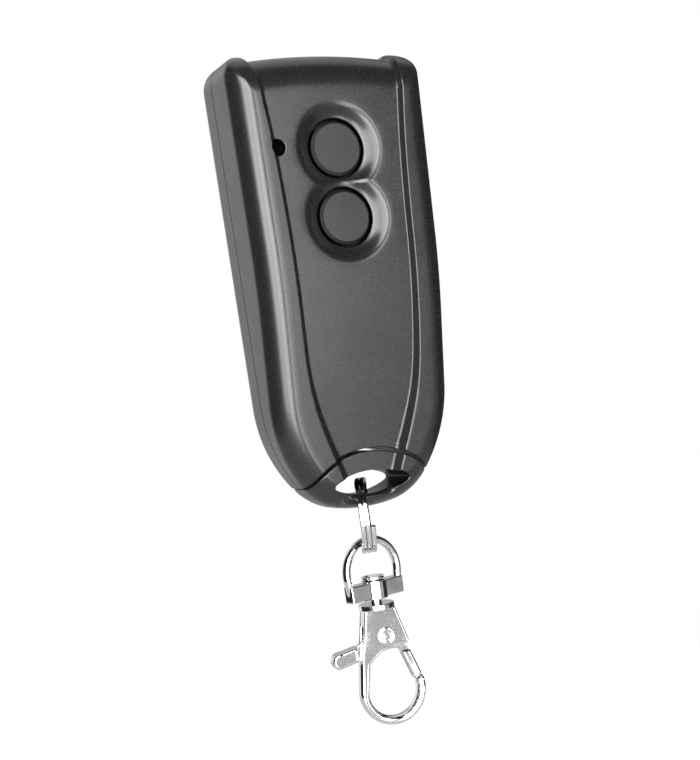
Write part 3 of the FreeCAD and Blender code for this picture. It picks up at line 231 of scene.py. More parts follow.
def laminate(name, colour):
    """Glass cloth in resin, with its weave showing."""
    mat, tree, shader = material(name, colour, 0.35)
    weave = tree.noise(4000, 2.0, 0.5, (1, 1, 0.2))
    light = [channel * 1.4 for channel in colour]
    tree.feed(shader.inputs["Base Color"], tree.blend(weave, (*colour, 1), (*light, 1)))
    return mat


DARK_GREY, RUBBED = (0.017, 0.017, 0.0185), (0.08, 0.08, 0.084)
HOUSING = grained_plastic("housing_plastic", DARK_GREY, RUBBED, 0.26, 7000, 0.0018 * MM)
BUTTON = grained_plastic("button_plastic", DARK_GREY, RUBBED, 0.29, 8000, 0.0018 * MM)
CHIP = grained_plastic("chip_resin", (0.012, 0.012, 0.012), (0.03, 0.03, 0.03), 0.5, 9000, 0.004 * MM)
# The light pipe is painted shade: near black, with its gloss cut to 0.02 below, so that the lamp hole reads
# black
PIPE = grained_plastic("light_pipe_painted_shade", PAINTED_SHADE_BLACK, (0.004, 0.004, 0.004), 0.9, 5000, 0.001 * MM)
for mat, gloss in ((PIPE, 0.02), (BUTTON, 0.4)):
    mat.node_tree.nodes["Principled BSDF"].inputs["Specular IOR Level"].default_value = gloss
# Painted shade: the eye's wall and the holes in the housing, and the buttons' sides behind their faces, are
# coloured near black with little gloss
paint_shade(HOUSING, painted_shade_walls)
paint_shade(BUTTON, painted_shade_button_sides)
BRIGHT = plated("bright_nickel", (0.72, 0.72, 0.725), 0.06)
STEEL = plated("steel", (0.52, 0.52, 0.53), 0.28)
BOARD = laminate("board_laminate", (0.01, 0.09, 0.03))

LOOKS = {
    "housing_plastic": HOUSING, "button_plastic": BUTTON, "switch_case": CHIP, "light_pipe": PIPE,
    "board_laminate": BOARD, "chip_resin": CHIP, "cell_steel": STEEL, "tin_plate": STEEL,
    "screw_steel": STEEL, "nickel_wire": BRIGHT, "nickel_casting": BRIGHT, "spring_steel": STEEL,
}
for part in frame["record"]["subparts"]:
    mesh = nodes[part["node"]].data
    mesh.materials.clear()
    mesh.materials.append(LOOKS[part["material_slot"]])

# Housing forms


def tail_arcs():
    """Centres of the side and corner arcs of the tail, and the points where arcs meet."""
    side = np.array([WIDTH / 2 - TAIL_INSET, TAIL_HEIGHT - TOP])
    upper = np.array([WIDTH / 2, TOP - TOP_CORNER])
    slope = math.atan2(upper[0] - side[0], upper[1] - side[1])
    side_centre = side + SIDE_ARC * np.array([-math.cos(slope), math.sin(slope)])
    end_centre = np.array([0.0, END_ARC - TOP])
    one, two = SIDE_ARC - CORNER_ARC, END_ARC - CORNER_ARC
    gap = end_centre - side_centre
    long = np.hypot(*gap)
    along = (one ** 2 - two ** 2 + long ** 2) / (2 * long)
    off = math.sqrt(one ** 2 - along ** 2)
    ahead = gap / long
    corner = side_centre + ahead * along + np.array([ahead[1], -ahead[0]]) * off
    shoulder = side_centre + (corner - side_centre) / np.hypot(*(corner - side_centre)) * SIDE_ARC
    foot = end_centre + (corner - end_centre) / np.hypot(*(corner - end_centre)) * END_ARC
    return side, upper, side_centre, end_centre, corner, shoulder, foot


def arc(centre, start, end, step):
    """Points on an arc from start towards end, the end left out."""
    a, b = np.asarray(start) - centre, np.asarray(end) - centre
    first = math.atan2(a[1], a[0])
    sweep = (math.atan2(b[1], b[0]) - first + math.pi) % (2 * math.pi) - math.pi
    radius = np.hypot(*a)
    count = max(int(math.ceil(abs(sweep) * radius / step)), 2)
    angles = first + sweep * np.arange(count) / count
    return centre + radius * np.c_[np.cos(angles), np.sin(angles)]


def run(start, end, step):
    """Points on a straight line from start towards end, the end left out."""
    start, end = np.asarray(start, float), np.asarray(end, float)
    count = max(int(math.ceil(np.hypot(*(end - start)) / step)), 1)
    return start + (end - start) * (np.arange(count) / count)[:, None]


def outline_half(step):
    """Right half of the outline from the middle of the foot up to the middle of the top."""
    side, upper, side_centre, end_centre, corner, shoulder, foot = tail_arcs()
    top = np.array([WIDTH / 2 - TOP_CORNER, TOP])
    return np.vstack([
        arc(end_centre, (0, -TOP), foot, step),
        arc(corner, foot, shoulder, step),
        arc(side_centre, shoulder, side, step),
        run(side, upper, step * 1.4),
        arc(np.array([top[0], upper[1]]), upper, top, min(step, 0.35)),
        run(top, (0, TOP), step * 1.4),
        [[0, TOP]],
    ])


def mirrored(points):
    return points * np.array([-1, 1])


HALF = outline_half(0.5)
OUTLINE = np.vstack([HALF, mirrored(HALF[-2:0:-1])])


def rim_distance(x, z):
    """Distance from the outline, for points inside it."""
    p = np.c_[x, z]
    a, b = OUTLINE, np.roll(OUTLINE, -1, axis=0)
    ab = b - a
    best = np.full(len(p), np.inf)
    for start in range(0, len(a), 64):
        part, way = a[start:start + 64], ab[start:start + 64]
        rel = p[:, None, :] - part[None]
        share = np.clip((rel * way).sum(2) / (way ** 2).sum(1), 0, 1)
        near = np.hypot(*np.moveaxis(rel - share[..., None] * way, 2, 0))
        best = np.minimum(best, near.min(1))
    return best


def smooth(share):
    """An even step from 0 to 1."""
    share = np.clip(share, 0, 1)
    return share * share * (3 - 2 * share)


def smooth_max(one, two, reach):
    """The larger of two, rounded off where they come within reach of each other."""
    mix = np.clip(0.5 + 0.5 * (one - two) / reach, 0, 1)
    return two + (one - two) * mix + reach * mix * (1 - mix)


def quarter(distance, across, deep=None):
    """Fall of a rounded edge at a distance from it: a quarter of an ellipse."""
    deep = across if deep is None else deep
    share = np.clip(1 - distance / across, 0, 1)
    return deep * (1 - np.sqrt(np.maximum(1 - share ** 2, 0)))


def both(one, two, power=2.6):
    """Two falls joined without a crease."""
    return (np.maximum(one, 0) ** power + np.maximum(two, 0) ** power) ** (1 / power)


def eased(t, ease):
    """A straight rise from 0 to 1 with its two corners rounded."""
    def ramp(u):
        return np.where(u < -ease, 0, np.where(u > ease, u, (u + ease) ** 2 / (4 * ease)))
    return ramp(t) - ramp(t - 1)


def crest(z):
    """Depth of the rails' crest: flat above, sloping back towards the tail."""
    reach = SLOPE_START + TOP
    angle = math.atan(SLOPE_RISE / (reach - SLOPE_ARC * math.tan(math.atan(SLOPE_RISE / reach) / 2)))
    below = np.maximum(SLOPE_START - z, 0)
    bend = SLOPE_ARC * math.sin(angle)
    curve = SLOPE_ARC - np.sqrt(np.maximum(SLOPE_ARC ** 2 - np.minimum(below, bend) ** 2, 0))
    return THICK - curve - np.maximum(below - bend, 0) * math.tan(angle)


def natural_spline(knots, values):
    """A function for the smooth curve through the values at the knots."""
    knots, values = np.array(knots, float), np.array(values, float)
    n, h = len(knots), np.diff(knots)
    matrix, right = np.eye(n), np.zeros(n)
    for i in range(1, n - 1):
        matrix[i, i - 1:i + 2] = h[i - 1], 2 * (h[i - 1] + h[i]), h[i]
        right[i] = 6 * ((values[i + 1] - values[i]) / h[i] - (values[i] - values[i - 1]) / h[i - 1])
    bend = np.linalg.solve(matrix, right)

    def at(z):
        i = np.clip(np.searchsorted(knots, z) - 1, 0, n - 2)
        a, b = (knots[i + 1] - z) / h[i], (z - knots[i]) / h[i]
        lift = ((a ** 3 - a) * bend[i] + (b ** 3 - b) * bend[i + 1]) * h[i] ** 2 / 6
        return a * values[i] + b * values[i + 1] + lift
    return at


# Height, half width of the panel and its fall below the rails
STATIONS = [
    (-TOP - 1, 2.3, 1.3), (4 - TOP, 3.5, 1.3), (9 - TOP, 5.2, 1.3), (18 - TOP, 8.1, 1.05),
    (27 - TOP, 9.1, 0.9), (TOP - 15, 10.4, 0.8), (TOP + 1, 12.1, 0.8),
]
panel_half = natural_spline([s[0] for s in STATIONS], [s[1] for s in STATIONS])
panel_fall = natural_spline([s[0] for s in STATIONS], [s[2] for s in STATIONS])


def slope_run(x, z):
    """Width of the slope between panel and rail, a little more on the left."""
    fall = panel_fall(z)
    return fall * (RAIL_SLOPE + fall) / (PANEL_DROP + fall) + np.where(x < 0, LEFT_SLOPE_MORE, 0)


def rail_share(x, z, ease=0.14):
    """0 on the panel, 1 on the rail, rising over the slope between them. The slope runs out on the bar."""
    share = eased((np.abs(x) - panel_half(z)) / slope_run(x, z), ease)
    return share + (1 - share) * smooth((BAR_Z - z) / 1.2)


def dish_fall(x, z):
    """Fall of the two joined dishes and of the holes' soft edges."""
    fall = np.zeros(len(x))
    outer, inner = DISH_ACROSS / 2 + 0.15, DISH_FLOOR / 2
    for bx, bz in BUTTONS:
        r = np.hypot(x - bx, z - bz)
        bowl = DISH_DEPTH * eased((outer - r) / (outer - inner), 0.36)
        bowl = np.where(r < outer + 1, bowl + quarter(r - BUTTON_HOLE, HOLE_EDGE), 0)
        fall = smooth_max(bowl, fall, np.minimum(0.5, np.minimum(bowl, fall) * 0.8) + 1e-6)
    led = np.hypot(x - LED[0], z - LED[1])
    return np.maximum(fall, quarter(led - LED_HOLE, HOLE_EDGE))


def above_split(x, z):
    """Distance above the arched split line, below it where negative."""
    return np.hypot(x, z - SPLIT_Z) - CAP_ARC


def front_depth(x, z, with_dishes=True):
    """Depth of the housing's front surface."""
    rim = quarter(rim_distance(x, z), FRONT_RIM)
    roll = quarter(TOP - z, ROLL)
    rail = crest(z) - both(rim, roll)
    reach = np.hypot(x, z - PANEL_CENTRE)
    panel_roll = quarter(PANEL_ARCH - reach, ROLL - PANEL_DROP)
    panel = crest(z) - panel_fall(z) - both(panel_roll, np.where(z < 20, rim, 0))
    if with_dishes:
        panel = panel - dish_fall(x, z)
    share = rail_share(x, z)
    return panel + (rail - panel) * share


def top_edge(x):
    """Height of the front shell's top edge: the rails' ends, and the arch between them."""
    past = np.maximum(np.abs(x) - WIDTH / 2 + TOP_CORNER, 0)
    outline = TOP - TOP_CORNER + np.sqrt(TOP_CORNER ** 2 - past ** 2)
    arch = PANEL_CENTRE + np.sqrt(PANEL_ARCH ** 2 - x ** 2)
    return arch + (outline - arch) * rail_share(x, np.full(len(x), TOP - 0.4))


def shell_depth(x, z):
    """Depth of the front shell's surface, its edge at the split line rounded."""
    return front_depth(x, z) - quarter(above_split(x, z), SPLIT_ROUND / 2)


def eye_side(x, z):
    """Distance outside the lens-shaped eye, its two tips rounded."""
    tall = EYE_TALL / 2
    radius = ((EYE_WIDE / 2) ** 2 + tall ** 2) / (2 * tall)
    upper = np.hypot(x, z - (EYE_Z + tall - radius)) - radius
    lower = np.hypot(x, z - (EYE_Z - tall + radius)) - radius
    return smooth_max(upper, lower, EYE_TIP)


def eye_fall(x, z):
    """Rounding of the eye's edges: narrow above, deep and round on the bar below."""
    low = smooth((EYE_Z + 0.3 - z) / 1.2)
    across = 0.3 + (BAR_ROUND - 0.3) * low
    return quarter(eye_side(x, z), across, 0.3 + (FLARE - 0.3) * low)


def split_fall(x, z):
    """Rounding of the cap's edge at the split line."""
    return quarter(-CAP_GAP - above_split(x, z), SPLIT_ROUND)


def cap_front(x, z):
    """Depth of the cap's front surface."""
    base = front_depth(x, z, False)
    whole = crest(z)
    return whole - both(whole - base, eye_fall(x, z)) - split_fall(x, z)


def back_depth(x, z):
    """Depth of the cap's back surface."""
    below = np.maximum(BACK_SLOPE - TOP - z, 0)
    radius = (BACK_SLOPE ** 2 + BACK_RISE ** 2) / (2 * BACK_RISE)
    slope = radius - np.sqrt(radius ** 2 - below ** 2)
    return slope + both(quarter(rim_distance(x, z), BACK_RIM), eye_fall(x, z)) + split_fall(x, z)


def inside(points, loop):
    """Which points lie inside a closed loop."""
    x, z = points[:, 0], points[:, 1]
    within = np.zeros(len(points), bool)
    for a, b in zip(loop, np.roll(loop, -1, axis=0)):
        if a[1] == b[1]:
            continue
        crosses = (a[1] > z) != (b[1] > z)
        within ^= crosses & (x < (b[0] - a[0]) * (z - a[1]) / (b[1] - a[1]) + a[0])
    return within


def thinned(points, kept, gap):
    """The points that stay a gap away from the kept ones and from each other."""
    cells = {}
    for p in kept:
        cells.setdefault((int(p[0] // gap), int(p[1] // gap)), []).append(p)
    out = []
    for p in points:
        cx, cz = int(p[0] // gap), int(p[1] // gap)
        near = [q for i in (-1, 0, 1) for j in (-1, 0, 1) for q in cells.get((cx + i, cz + j), ())]
        if all((p[0] - q[0]) ** 2 + (p[1] - q[1]) ** 2 >= gap * gap for q in near):
            cells.setdefault((cx, cz), []).append(p)
            out.append(p)
    return np.array(out).reshape(-1, 2)


def scattered(groups, gaps, loops):
    """Points of the groups within the first loop and outside the others, thinned to a gap per group."""
    kept, spread = np.vstack(loops), []
    for group, gap in zip(groups, gaps):
        group = group[inside(group, loops[0])]
        for hole in loops[1:]:
            group = group[~inside(group, hole)]
        new = thinned(group, kept, gap)
        kept = np.vstack([kept, new])
        spread.append(new)
    return np.vstack(spread)


def grid(wide, low, high, step):
    x, z = np.meshgrid(np.arange(-wide, wide + 0.1, step), np.arange(low, high, step))
    return np.c_[x.ravel(), z.ravel()]


def at_depth(points, y):
    """Points in the plane, (x, z), set at one depth."""
    return np.c_[points[:, 0], np.full(len(points), y), points[:, 1]]


def ring(centre, radius, count, turn=0.0):
    angles = 2 * math.pi * (np.arange(count) + turn) / count
    return np.array(centre) + radius * np.c_[np.cos(angles), np.sin(angles)]


def inward(loop):
    """Unit directions into a counterclockwise loop, one per point."""
    way = np.roll(loop, -1, axis=0) - np.roll(loop, 1, axis=0)
    way /= np.hypot(way[:, 0], way[:, 1])[:, None]
    return np.c_[-way[:, 1], way[:, 0]]


def crossing(loop_points, test):
    """Where a run of points first changes the sign of the test, by halving."""
    values = test(loop_points[:, 0], loop_points[:, 1])
    i = int(np.argmax((values[1:] > 0) != (values[0] > 0)))
    a, b = loop_points[i], loop_points[i + 1]
    for _ in range(40):
        m = (a + b) / 2
        if (test(m[:1], m[1:])[0] > 0) == (values[i] > 0):
            a = m
        else:
            b = m
    return i, (a + b) / 2


def triangulated(loops, inner):
    """Triangles that fill the first loop around the others, with extra points inside.
    Also gives where each of the given points is among the triangles' points."""
    points = np.vstack(loops + [inner])
    edges, start = [], 0
    for one in loops:
        n = len(one)
        edges += [(start + i, start + (i + 1) % n) for i in range(n)]
        start += n
    vectors = [Vector((float(a), float(b))) for a, b in points]
    verts, _, faces, origin, _, _ = delaunay_2d_cdt(vectors, edges, [], 0, 1e-6)
    flat = np.array([[v.x, v.y] for v in verts])
    spot = {}
    for index, ids in enumerate(origin):
        if ids:
            spot.setdefault(ids[0], index)
    tris = np.array([f for f in faces if len(f) == 3])
    middle = flat[tris].mean(1)
    keep = inside(middle, loops[0])
    for one in loops[1:]:
        keep &= ~inside(middle, one)
    return flat, tris[keep], spot


def lift_normals(depth, flat):
    """Outward normals of the surface y = -depth(x, z)."""
    e = 0.012
    x, z = flat[:, 0], flat[:, 1]
    dx = (depth(x + e, z) - depth(x - e, z)) / (2 * e)
    dz = (depth(x, z + e) - depth(x, z - e)) / (2 * e)
    n = np.c_[-dx, -np.ones(len(x)), -dz]
    return n / np.linalg.norm(n, axis=1)[:, None]


class Skin:
    """Vertices with their own normals, and faces. A yaw turns them about the chain's line."""

    def __init__(self, yaw=None):
        self.points, self.normals, self.faces, self.yaw = [], [], [], yaw

    def turned(self, vectors, shift):
        if self.yaw is None:
            return np.array(vectors)
        cos, sin = math.cos(math.radians(self.yaw)), math.sin(math.radians(self.yaw))
        v = np.array(vectors)
        return np.c_[v[:, 0] * cos - v[:, 1] * sin, v[:, 0] * sin + v[:, 1] * cos - shift, v[:, 2]]

    def add(self, points, normals):
        start = len(self.points)
        self.points += [tuple(p) for p in points]
        self.normals += [tuple(n) for n in normals]
        return np.arange(start, len(self.points))

    def band(self, one, two, flip=False):
        """A closed strip of faces between two rings of vertices."""
        for i in range(len(one)):
            j = (i + 1) % len(one)
            face = (one[i], one[j], two[j], two[i])
            self.faces.append(tuple(int(v) for v in (face[::-1] if flip else face)))

    def fill(self, flat, tris, placed, facing):
        """Triangles between placed vertices, all facing forward (1) or back (-1)."""
        for a, b, c in tris:
            pa, pb, pc = flat[a], flat[b], flat[c]
            turn = (pb[0] - pa[0]) * (pc[1] - pa[1]) - (pb[1] - pa[1]) * (pc[0] - pa[0])
            face = (a, b, c) if (turn > 0) == (facing > 0) else (a, c, b)
            self.faces.append(tuple(int(placed[v]) for v in face))

    def build(self, name, mat, body):
        mesh = bpy.data.meshes.new(name)
        mesh.from_pydata((self.turned(self.points, CHAIN) * MM).tolist(), [], self.faces)
        mesh.polygons.foreach_set("use_smooth", [True] * len(mesh.polygons))
        mesh.update()
        normals = self.turned(self.normals, 0)
        normals /= np.linalg.norm(normals, axis=1)[:, None]
        mesh.normals_split_custom_set_from_vertices([tuple(n) for n in normals])
        mesh.materials.append(mat)
        obj = bpy.data.objects.new(name, mesh)
        bpy.context.scene.collection.objects.link(obj)
        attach(obj, body)
        return obj


def sheet_of(skin, depth, loops, inner, facing=1):
    """The lifted, triangulated surface. Gives the vertex rings of its loops."""
    flat, tris, spot = triangulated(loops, inner)
    x, z = flat[:, 0], flat[:, 1]
    normals = lift_normals(depth, flat) * facing
    rings, start = [], 0
    for number, one in enumerate(loops):
        ids = np.array([spot[start + i] for i in range(len(one))])
        away = -inward(one) if number == 0 else inward(one)
        normals[ids] = at_depth(away, 0)
        rings.append(ids)
        start += len(one)
    placed = skin.add(np.c_[x, -depth(x, z), z], normals)
    skin.fill(flat, tris, placed, facing)
    return [placed[ids] for ids in rings]


RIM_STEPS = [0.02, 0.08, 0.19, 0.34, 0.54, 0.8, 1.1, 1.45, 1.85, 2.3, 2.8, 3.4, 4.1]
SLOPE_STEPS = [-0.6, -0.3, -0.14, -0.07, 0, 0.07, 0.14, 0.32, 0.5,
               0.68, 0.86, 0.93, 1, 1.07, 1.14, 1.35, 1.8]
TOP_EDGE_STEPS = [1.25, 1.1, 1.0, 0.9, 0.75, 0.5, 0.25, 0.1, 0, -0.1, -0.3]
SPLIT_STEPS = [0.02, 0.06, 0.12, 0.2, 0.4, 0.9]
EYE_STEPS = [0.01, 0.04, 0.09, 0.16, 0.24, 0.33, 0.45, 0.62, 0.82, 1.05, 1.3, 1.55]
DISH_STEPS = [0.02, 0.05, 0.12, 0.21, 0.31, 0.45, 0.7, 1.0, 1.3, 1.55, 1.75, 1.95, 2.15, 2.35, 2.65]
LED_STEPS = [0.02, 0.06, 0.12, 0.25, 0.65]
OUTLINE_STEP, FINE, EDGE_Z = 0.45, 0.018, TOP - 0.4
LED_WALL, BUTTON_WALL, LIP = 11.0, 9.6, 1.3


def rail_points(low, high, step):
    """Points along the rails' inner slopes, close together across them."""
    levels = np.concatenate([
        np.arange(low, TOP - ROLL, step),
        TOP - ROLL + ROLL * np.sin(np.radians(np.arange(3, 90, 5))),
    ])
    levels = levels[levels < high]
    out = []
    for t in SLOPE_STEPS:
        for side in (-1, 1):
            out.append(np.c_[side * (panel_half(levels) + t * slope_run(side, levels)), levels])
    return np.vstack(out)


def rim_points(step):
    """Points along the outline, close together where the rim is round."""
    half = outline_half(step)
    loop = np.vstack([half, mirrored(half[-2:0:-1])])
    ways = inward(loop)
    return np.vstack([loop + ways * off for off in RIM_STEPS])


def split_arc(radius, angle, count):
    """Points on an arc along the split line, from one angle to its opposite."""
    sweep = np.linspace(-angle, angle, count)
    return np.c_[radius * np.sin(sweep), SPLIT_Z + radius * np.cos(sweep)]


def shell_loop():
    """The front shell's outline, and the angle at which its split line ends."""
    half = outline_half(OUTLINE_STEP)
    side_start, foot = crossing(half, above_split)
    side = half[side_start + 1:]
    side = side[(side[:, 1] < TOP - 1) | (side[:, 0] > 12.95)]
    slope = float(slope_run(1, np.array([EDGE_Z]))[0])
    half_top = float(panel_half(np.array([EDGE_Z]))[0])
    edge_x = half_top + slope * np.array(TOP_EDGE_STEPS)
    across = np.concatenate([edge_x, np.linspace(half_top - 0.8, 0, 22)])
    across = across[across < 12.9]
    right = np.vstack([[foot], side, np.c_[across, top_edge(across)]])
    angle = math.asin(foot[0] / CAP_ARC)
    return np.vstack([right, mirrored(right[-2::-1]), split_arc(CAP_ARC, angle, 62)[1:-1]]), angle


def shell_details(angle):
    """Points close together on the split line's edge, dishes, lamp hole and the roll over the top."""
    out = [split_arc(CAP_ARC + off, angle, 60) for off in SPLIT_STEPS]
    for number, c in enumerate(BUTTONS):
        for k, off in enumerate(DISH_STEPS):
            radius = BUTTON_HOLE + off
            spots = ring(c, radius, 72, 0.5 * (k % 2))
            other = np.hypot(*(spots - BUTTONS[1 - number]).T)
            out.append(spots[other > radius + 0.02])
    ridge = np.linspace(-4.5, 4.5, 25)
    out.append(np.c_[ridge, np.full(25, BUTTON_TOP - BUTTON_PITCH / 2)])
    out += [ring(LED, LED_HOLE + off, 32) for off in LED_STEPS]
    arch_x = np.linspace(-11.8, 11.8, 41)
    for angle_up in np.radians(np.arange(4, 89, 5)):
        reach = PANEL_ARCH - (ROLL - PANEL_DROP) * (1 - math.sin(angle_up))
        out.append(np.c_[arch_x, PANEL_CENTRE + np.sqrt(reach ** 2 - arch_x ** 2)])
    corner_x = np.arange(12.2, 16, 0.35)
    for angle_up in np.radians(np.arange(6, 90, 7)):
        level = np.full(len(corner_x), TOP - ROLL + ROLL * math.sin(angle_up))
        out += [np.c_[corner_x, level], np.c_[-corner_x, level]]
    return np.vstack(out)


def make_front_shell():
    loop, angle = shell_loop()
    holes = [ring(c, BUTTON_HOLE, 72) for c in BUTTONS]
    led = ring(LED, LED_HOLE, 32)
    loops = [loop, led] + holes
    groups = [rail_points(-33.0, TOP, 0.6), shell_details(angle), rim_points(0.55)]
    groups.append(grid(15.5, -33.5, 30, 0.9))
    skin = Skin()
    rings = sheet_of(skin, shell_depth, loops, scattered(groups, (FINE, FINE, 0.03, 0.5), loops))
    away = -inward(loop)
    foot_depth = PARTING + PARTING_GAP / 2
    outward, back = at_depth(away, 0), np.array([0, 1.0, 0])
    wall = skin.add(at_depth(loop, -(foot_depth + 0.1)), outward)
    base = skin.add(at_depth(loop - away * 0.09, -foot_depth), outward + back)
    lip = skin.add(at_depth(loop - away * LIP, -foot_depth - 0.02), np.tile(back, (len(loop), 1)))
    skin.band(rings[0], wall, True)
    skin.band(wall, base, True)
    skin.band(base, lip, True)
    for one, ids, depth in zip(loops[1:], rings[1:], (LED_WALL, BUTTON_WALL, BUTTON_WALL)):
        skin.band(ids, skin.add(at_depth(one, -depth), at_depth(inward(one), 0)))
    return skin.build("front_shell_skin", HOUSING, "housing")


def eye_loop(count):
    """The eye's edge, found by walking out from its middle."""
    middle = np.array([0, EYE_Z])
    angles = np.linspace(0, 2 * math.pi, count, endpoint=False)
    squash = np.array([EYE_WIDE / EYE_TALL, 1.0])
    ways = np.c_[np.cos(angles), np.sin(angles)] * squash
    ways /= np.hypot(ways[:, 0], ways[:, 1])[:, None]
    low, high = np.zeros(count), np.full(count, EYE_WIDE / 2 + 0.5)
    for _ in range(40):
        mid = (low + high) / 2
        spot = middle + ways * mid[:, None]
        outside = eye_side(spot[:, 0], spot[:, 1]) > 0
        high = np.where(outside, mid, high)
        low = np.where(outside, low, mid)
    return middle + ways * low[:, None]


def above_cap(x, z):
    return above_split(x, z) + CAP_GAP


def make_cap():
    half = outline_half(OUTLINE_STEP)
    stop, end = crossing(half, above_cap)
    side = np.vstack([half[:stop + 1], [end]])
    radius = CAP_ARC - CAP_GAP
    angle = math.asin(end[0] / radius)
    loop = np.vstack([side, split_arc(radius, -angle, 60)[1:-1], mirrored(side[:0:-1])])
    eye = eye_loop(96)
    details = [rail_points(-34.8, -26.2, 0.45)]
    details += [split_arc(radius - off, angle, 60) for off in SPLIT_STEPS[:-1]]
    details += [eye - inward(eye) * off for off in EYE_STEPS]
    groups = [np.vstack(details), rim_points(0.45), grid(14, -35, -26, 0.6)]
    inner = scattered(groups, (FINE, 0.03, 0.35), [loop, eye])
    skin = Skin()
    front = sheet_of(skin, cap_front, [loop, eye], inner)
    rear = sheet_of(skin, back_depth, [loop, eye], inner, -1)
    skin.band(front[0], rear[0], True)
    skin.band(front[1], rear[1])
    return skin.build("keyring_cap_skin", HOUSING, "housing")


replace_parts(make_front_shell(), "front_shell")
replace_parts(make_cap(), "keyring_cap")

# Key ring and snap hook, each in its own frame: x across, y to the back, z up from the housing's middle

RING_YAW, BAIL_YAW, HOOK_YAW = -22, 12, -10
RING_Z, BAIL_Z, BAIL_FOOT, PIVOT, LOOP_Z = -36.675, -45.57, -49.85, -55.85, -64.65
PIVOT_X, LOOP_X = 0.55, 0.8
RING_ACROSS, WIRE, COIL_PITCH = 11.95, 0.75, 0.78
RING_START, RING_SWEEP, RING_STATIONS, WIRE_SIDES = 283, 799, 267, 20
# Where the wire runs level and where it steps to the next coil: from and to, in degrees and in coils
COIL_SPANS = [(0, 229, 1, 1), (229, 289, 1, 0), (289, 589, 0, 0), (589, 649, 0, -1),
              (649, RING_SWEEP, -1, -1)]
BAIL_OUTER, BAIL_INNER, HUB_RADIUS, BAND_TALL = 5.6, 4.45, 2.0, 2.7
LOOP_OUTER, LOOP_INNER, COLLAR_RADIUS, SHANK = 5.4, 4.0, 2.8, 0.88
PLATE_FRONT, PLATE_REAR, LOOP_HALF, RIVET_SEAT, RIVET_FACE = 1.6, 0.85, 1.05, 1.61, 1.9


def softened_run(points, step, reach):
    """Points at an even step, each averaged with its neighbours. The two ends fall away."""
    span = int(3 * reach / step)
    weights = np.exp(-0.5 * (np.arange(-span, span + 1) * step / reach) ** 2)
    weights /= weights.sum()
    return np.c_[np.convolve(points[:, 0], weights, "valid"), np.convolve(points[:, 1], weights, "valid")]


def even(loop, step):
    """A closed loop with its points at an even step."""
    closed = np.vstack([loop, loop[:1]])
    way = np.r_[0, np.cumsum(np.hypot(*np.diff(closed, axis=0).T))]
    count = max(int(way[-1] / step), 12)
    at = np.arange(count) * way[-1] / count
    return np.c_[np.interp(at, way, closed[:, 0]), np.interp(at, way, closed[:, 1])]


def softened(loop, reach, step=0.13):
    """A closed loop with rounded corners."""
    fine = 0.05
    points, span = even(np.array(loop, float), fine), int(3 * reach / fine)
    return even(softened_run(np.vstack([points[-span:], points, points[:span]]), fine, reach), step)


def bend(cx, cz, radius, first, last, count=60):
    """Points on an arc, angles in degrees from +x towards +z."""
    angles = np.radians(np.linspace(first, last, count))
    return [(cx + radius * math.cos(a), cz + radius * math.sin(a)) for a in angles]


def slab(skin, outline, holes, front, rear, edge, deep=None):
    """A plate from one depth to another with rounded arrises."""
    deep = edge if deep is None else deep
    loops = [outline] + holes
    into = [inward(one) * (1 if k == 0 else -1) for k, one in enumerate(loops)]
    turns = np.radians([68, 45, 22, 0])
    caps = []
    for y, facing in ((front, 1), (rear, -1)):
        flat, tris, spot = triangulated([a + b * edge for a, b in zip(loops, into)], np.zeros((0, 2)))
        ids = skin.add(at_depth(flat, y), np.tile([0, -facing, 0], (len(flat), 1)))
        skin.fill(flat, tris, ids, facing)
        starts = np.cumsum([0] + [len(one) for one in loops])
        caps.append([ids[[spot[starts[k] + i] for i in range(len(one))]] for k, one in enumerate(loops)])
    for k, (one, way) in enumerate(zip(loops, into)):
        rings = [caps[0][k]]
        for y, facing, angles in ((front, 1, turns), (rear, -1, turns[::-1])):
            for angle in angles:
                cos, sin = math.cos(angle), math.sin(angle)
                spots = at_depth(one + way * edge * (1 - cos), y + facing * deep * (1 - sin))
                rings.append(skin.add(spots, at_depth(-way * cos * deep / edge, -facing * sin)))
        rings.append(caps[1][k])
        for a, b in zip(rings, rings[1:]):
            skin.band(a, b, k == 0)


def lathe(skin, profile, centre, axis, soft=0.08, count=56):
    """A turned form. The profile runs from foot to crown as (radius, height)."""
    p = np.array(profile, float)
    way = np.r_[0, np.cumsum(np.hypot(*np.diff(p, axis=0).T))]
    step = 0.03
    at = np.linspace(0, way[-1], int(way[-1] / step) + 2)
    fine = np.c_[np.interp(at, way, p[:, 0]), np.interp(at, way, p[:, 1])]
    span = int(3 * soft / step)
    padded = np.vstack([2 * fine[0] - fine[span:0:-1], fine, 2 * fine[-1] - fine[-2:-span - 2:-1]])
    rounded = softened_run(padded, step, soft)
    rounded = np.vstack([rounded[::2], rounded[-1:]])
    tangent = np.gradient(rounded, axis=0)
    tangent /= np.hypot(tangent[:, 0], tangent[:, 1])[:, None]
    angles = 2 * math.pi * np.arange(count) / count
    cos, sin = np.cos(angles), np.sin(angles)
    rings = []
    for (radius, height), (tr, th) in zip(rounded, tangent):
        radius = max(radius, 0.004)
        if axis == "z":
            spots = np.c_[centre[0] + radius * cos, centre[1] + radius * sin, np.full(count, height)]
            normals = np.c_[th * cos, th * sin, np.full(count, -tr)]
        else:
            spots = np.c_[centre[0] + radius * cos, np.full(count, -height), centre[1] + radius * sin]
            normals = np.c_[th * cos, np.full(count, tr), th * sin]
        rings.append(skin.add(spots, normals))
    for a, b in zip(rings, rings[1:]):
        skin.band(a, b)


def signed_power(values, power):
    return np.sign(values) * np.abs(values) ** power


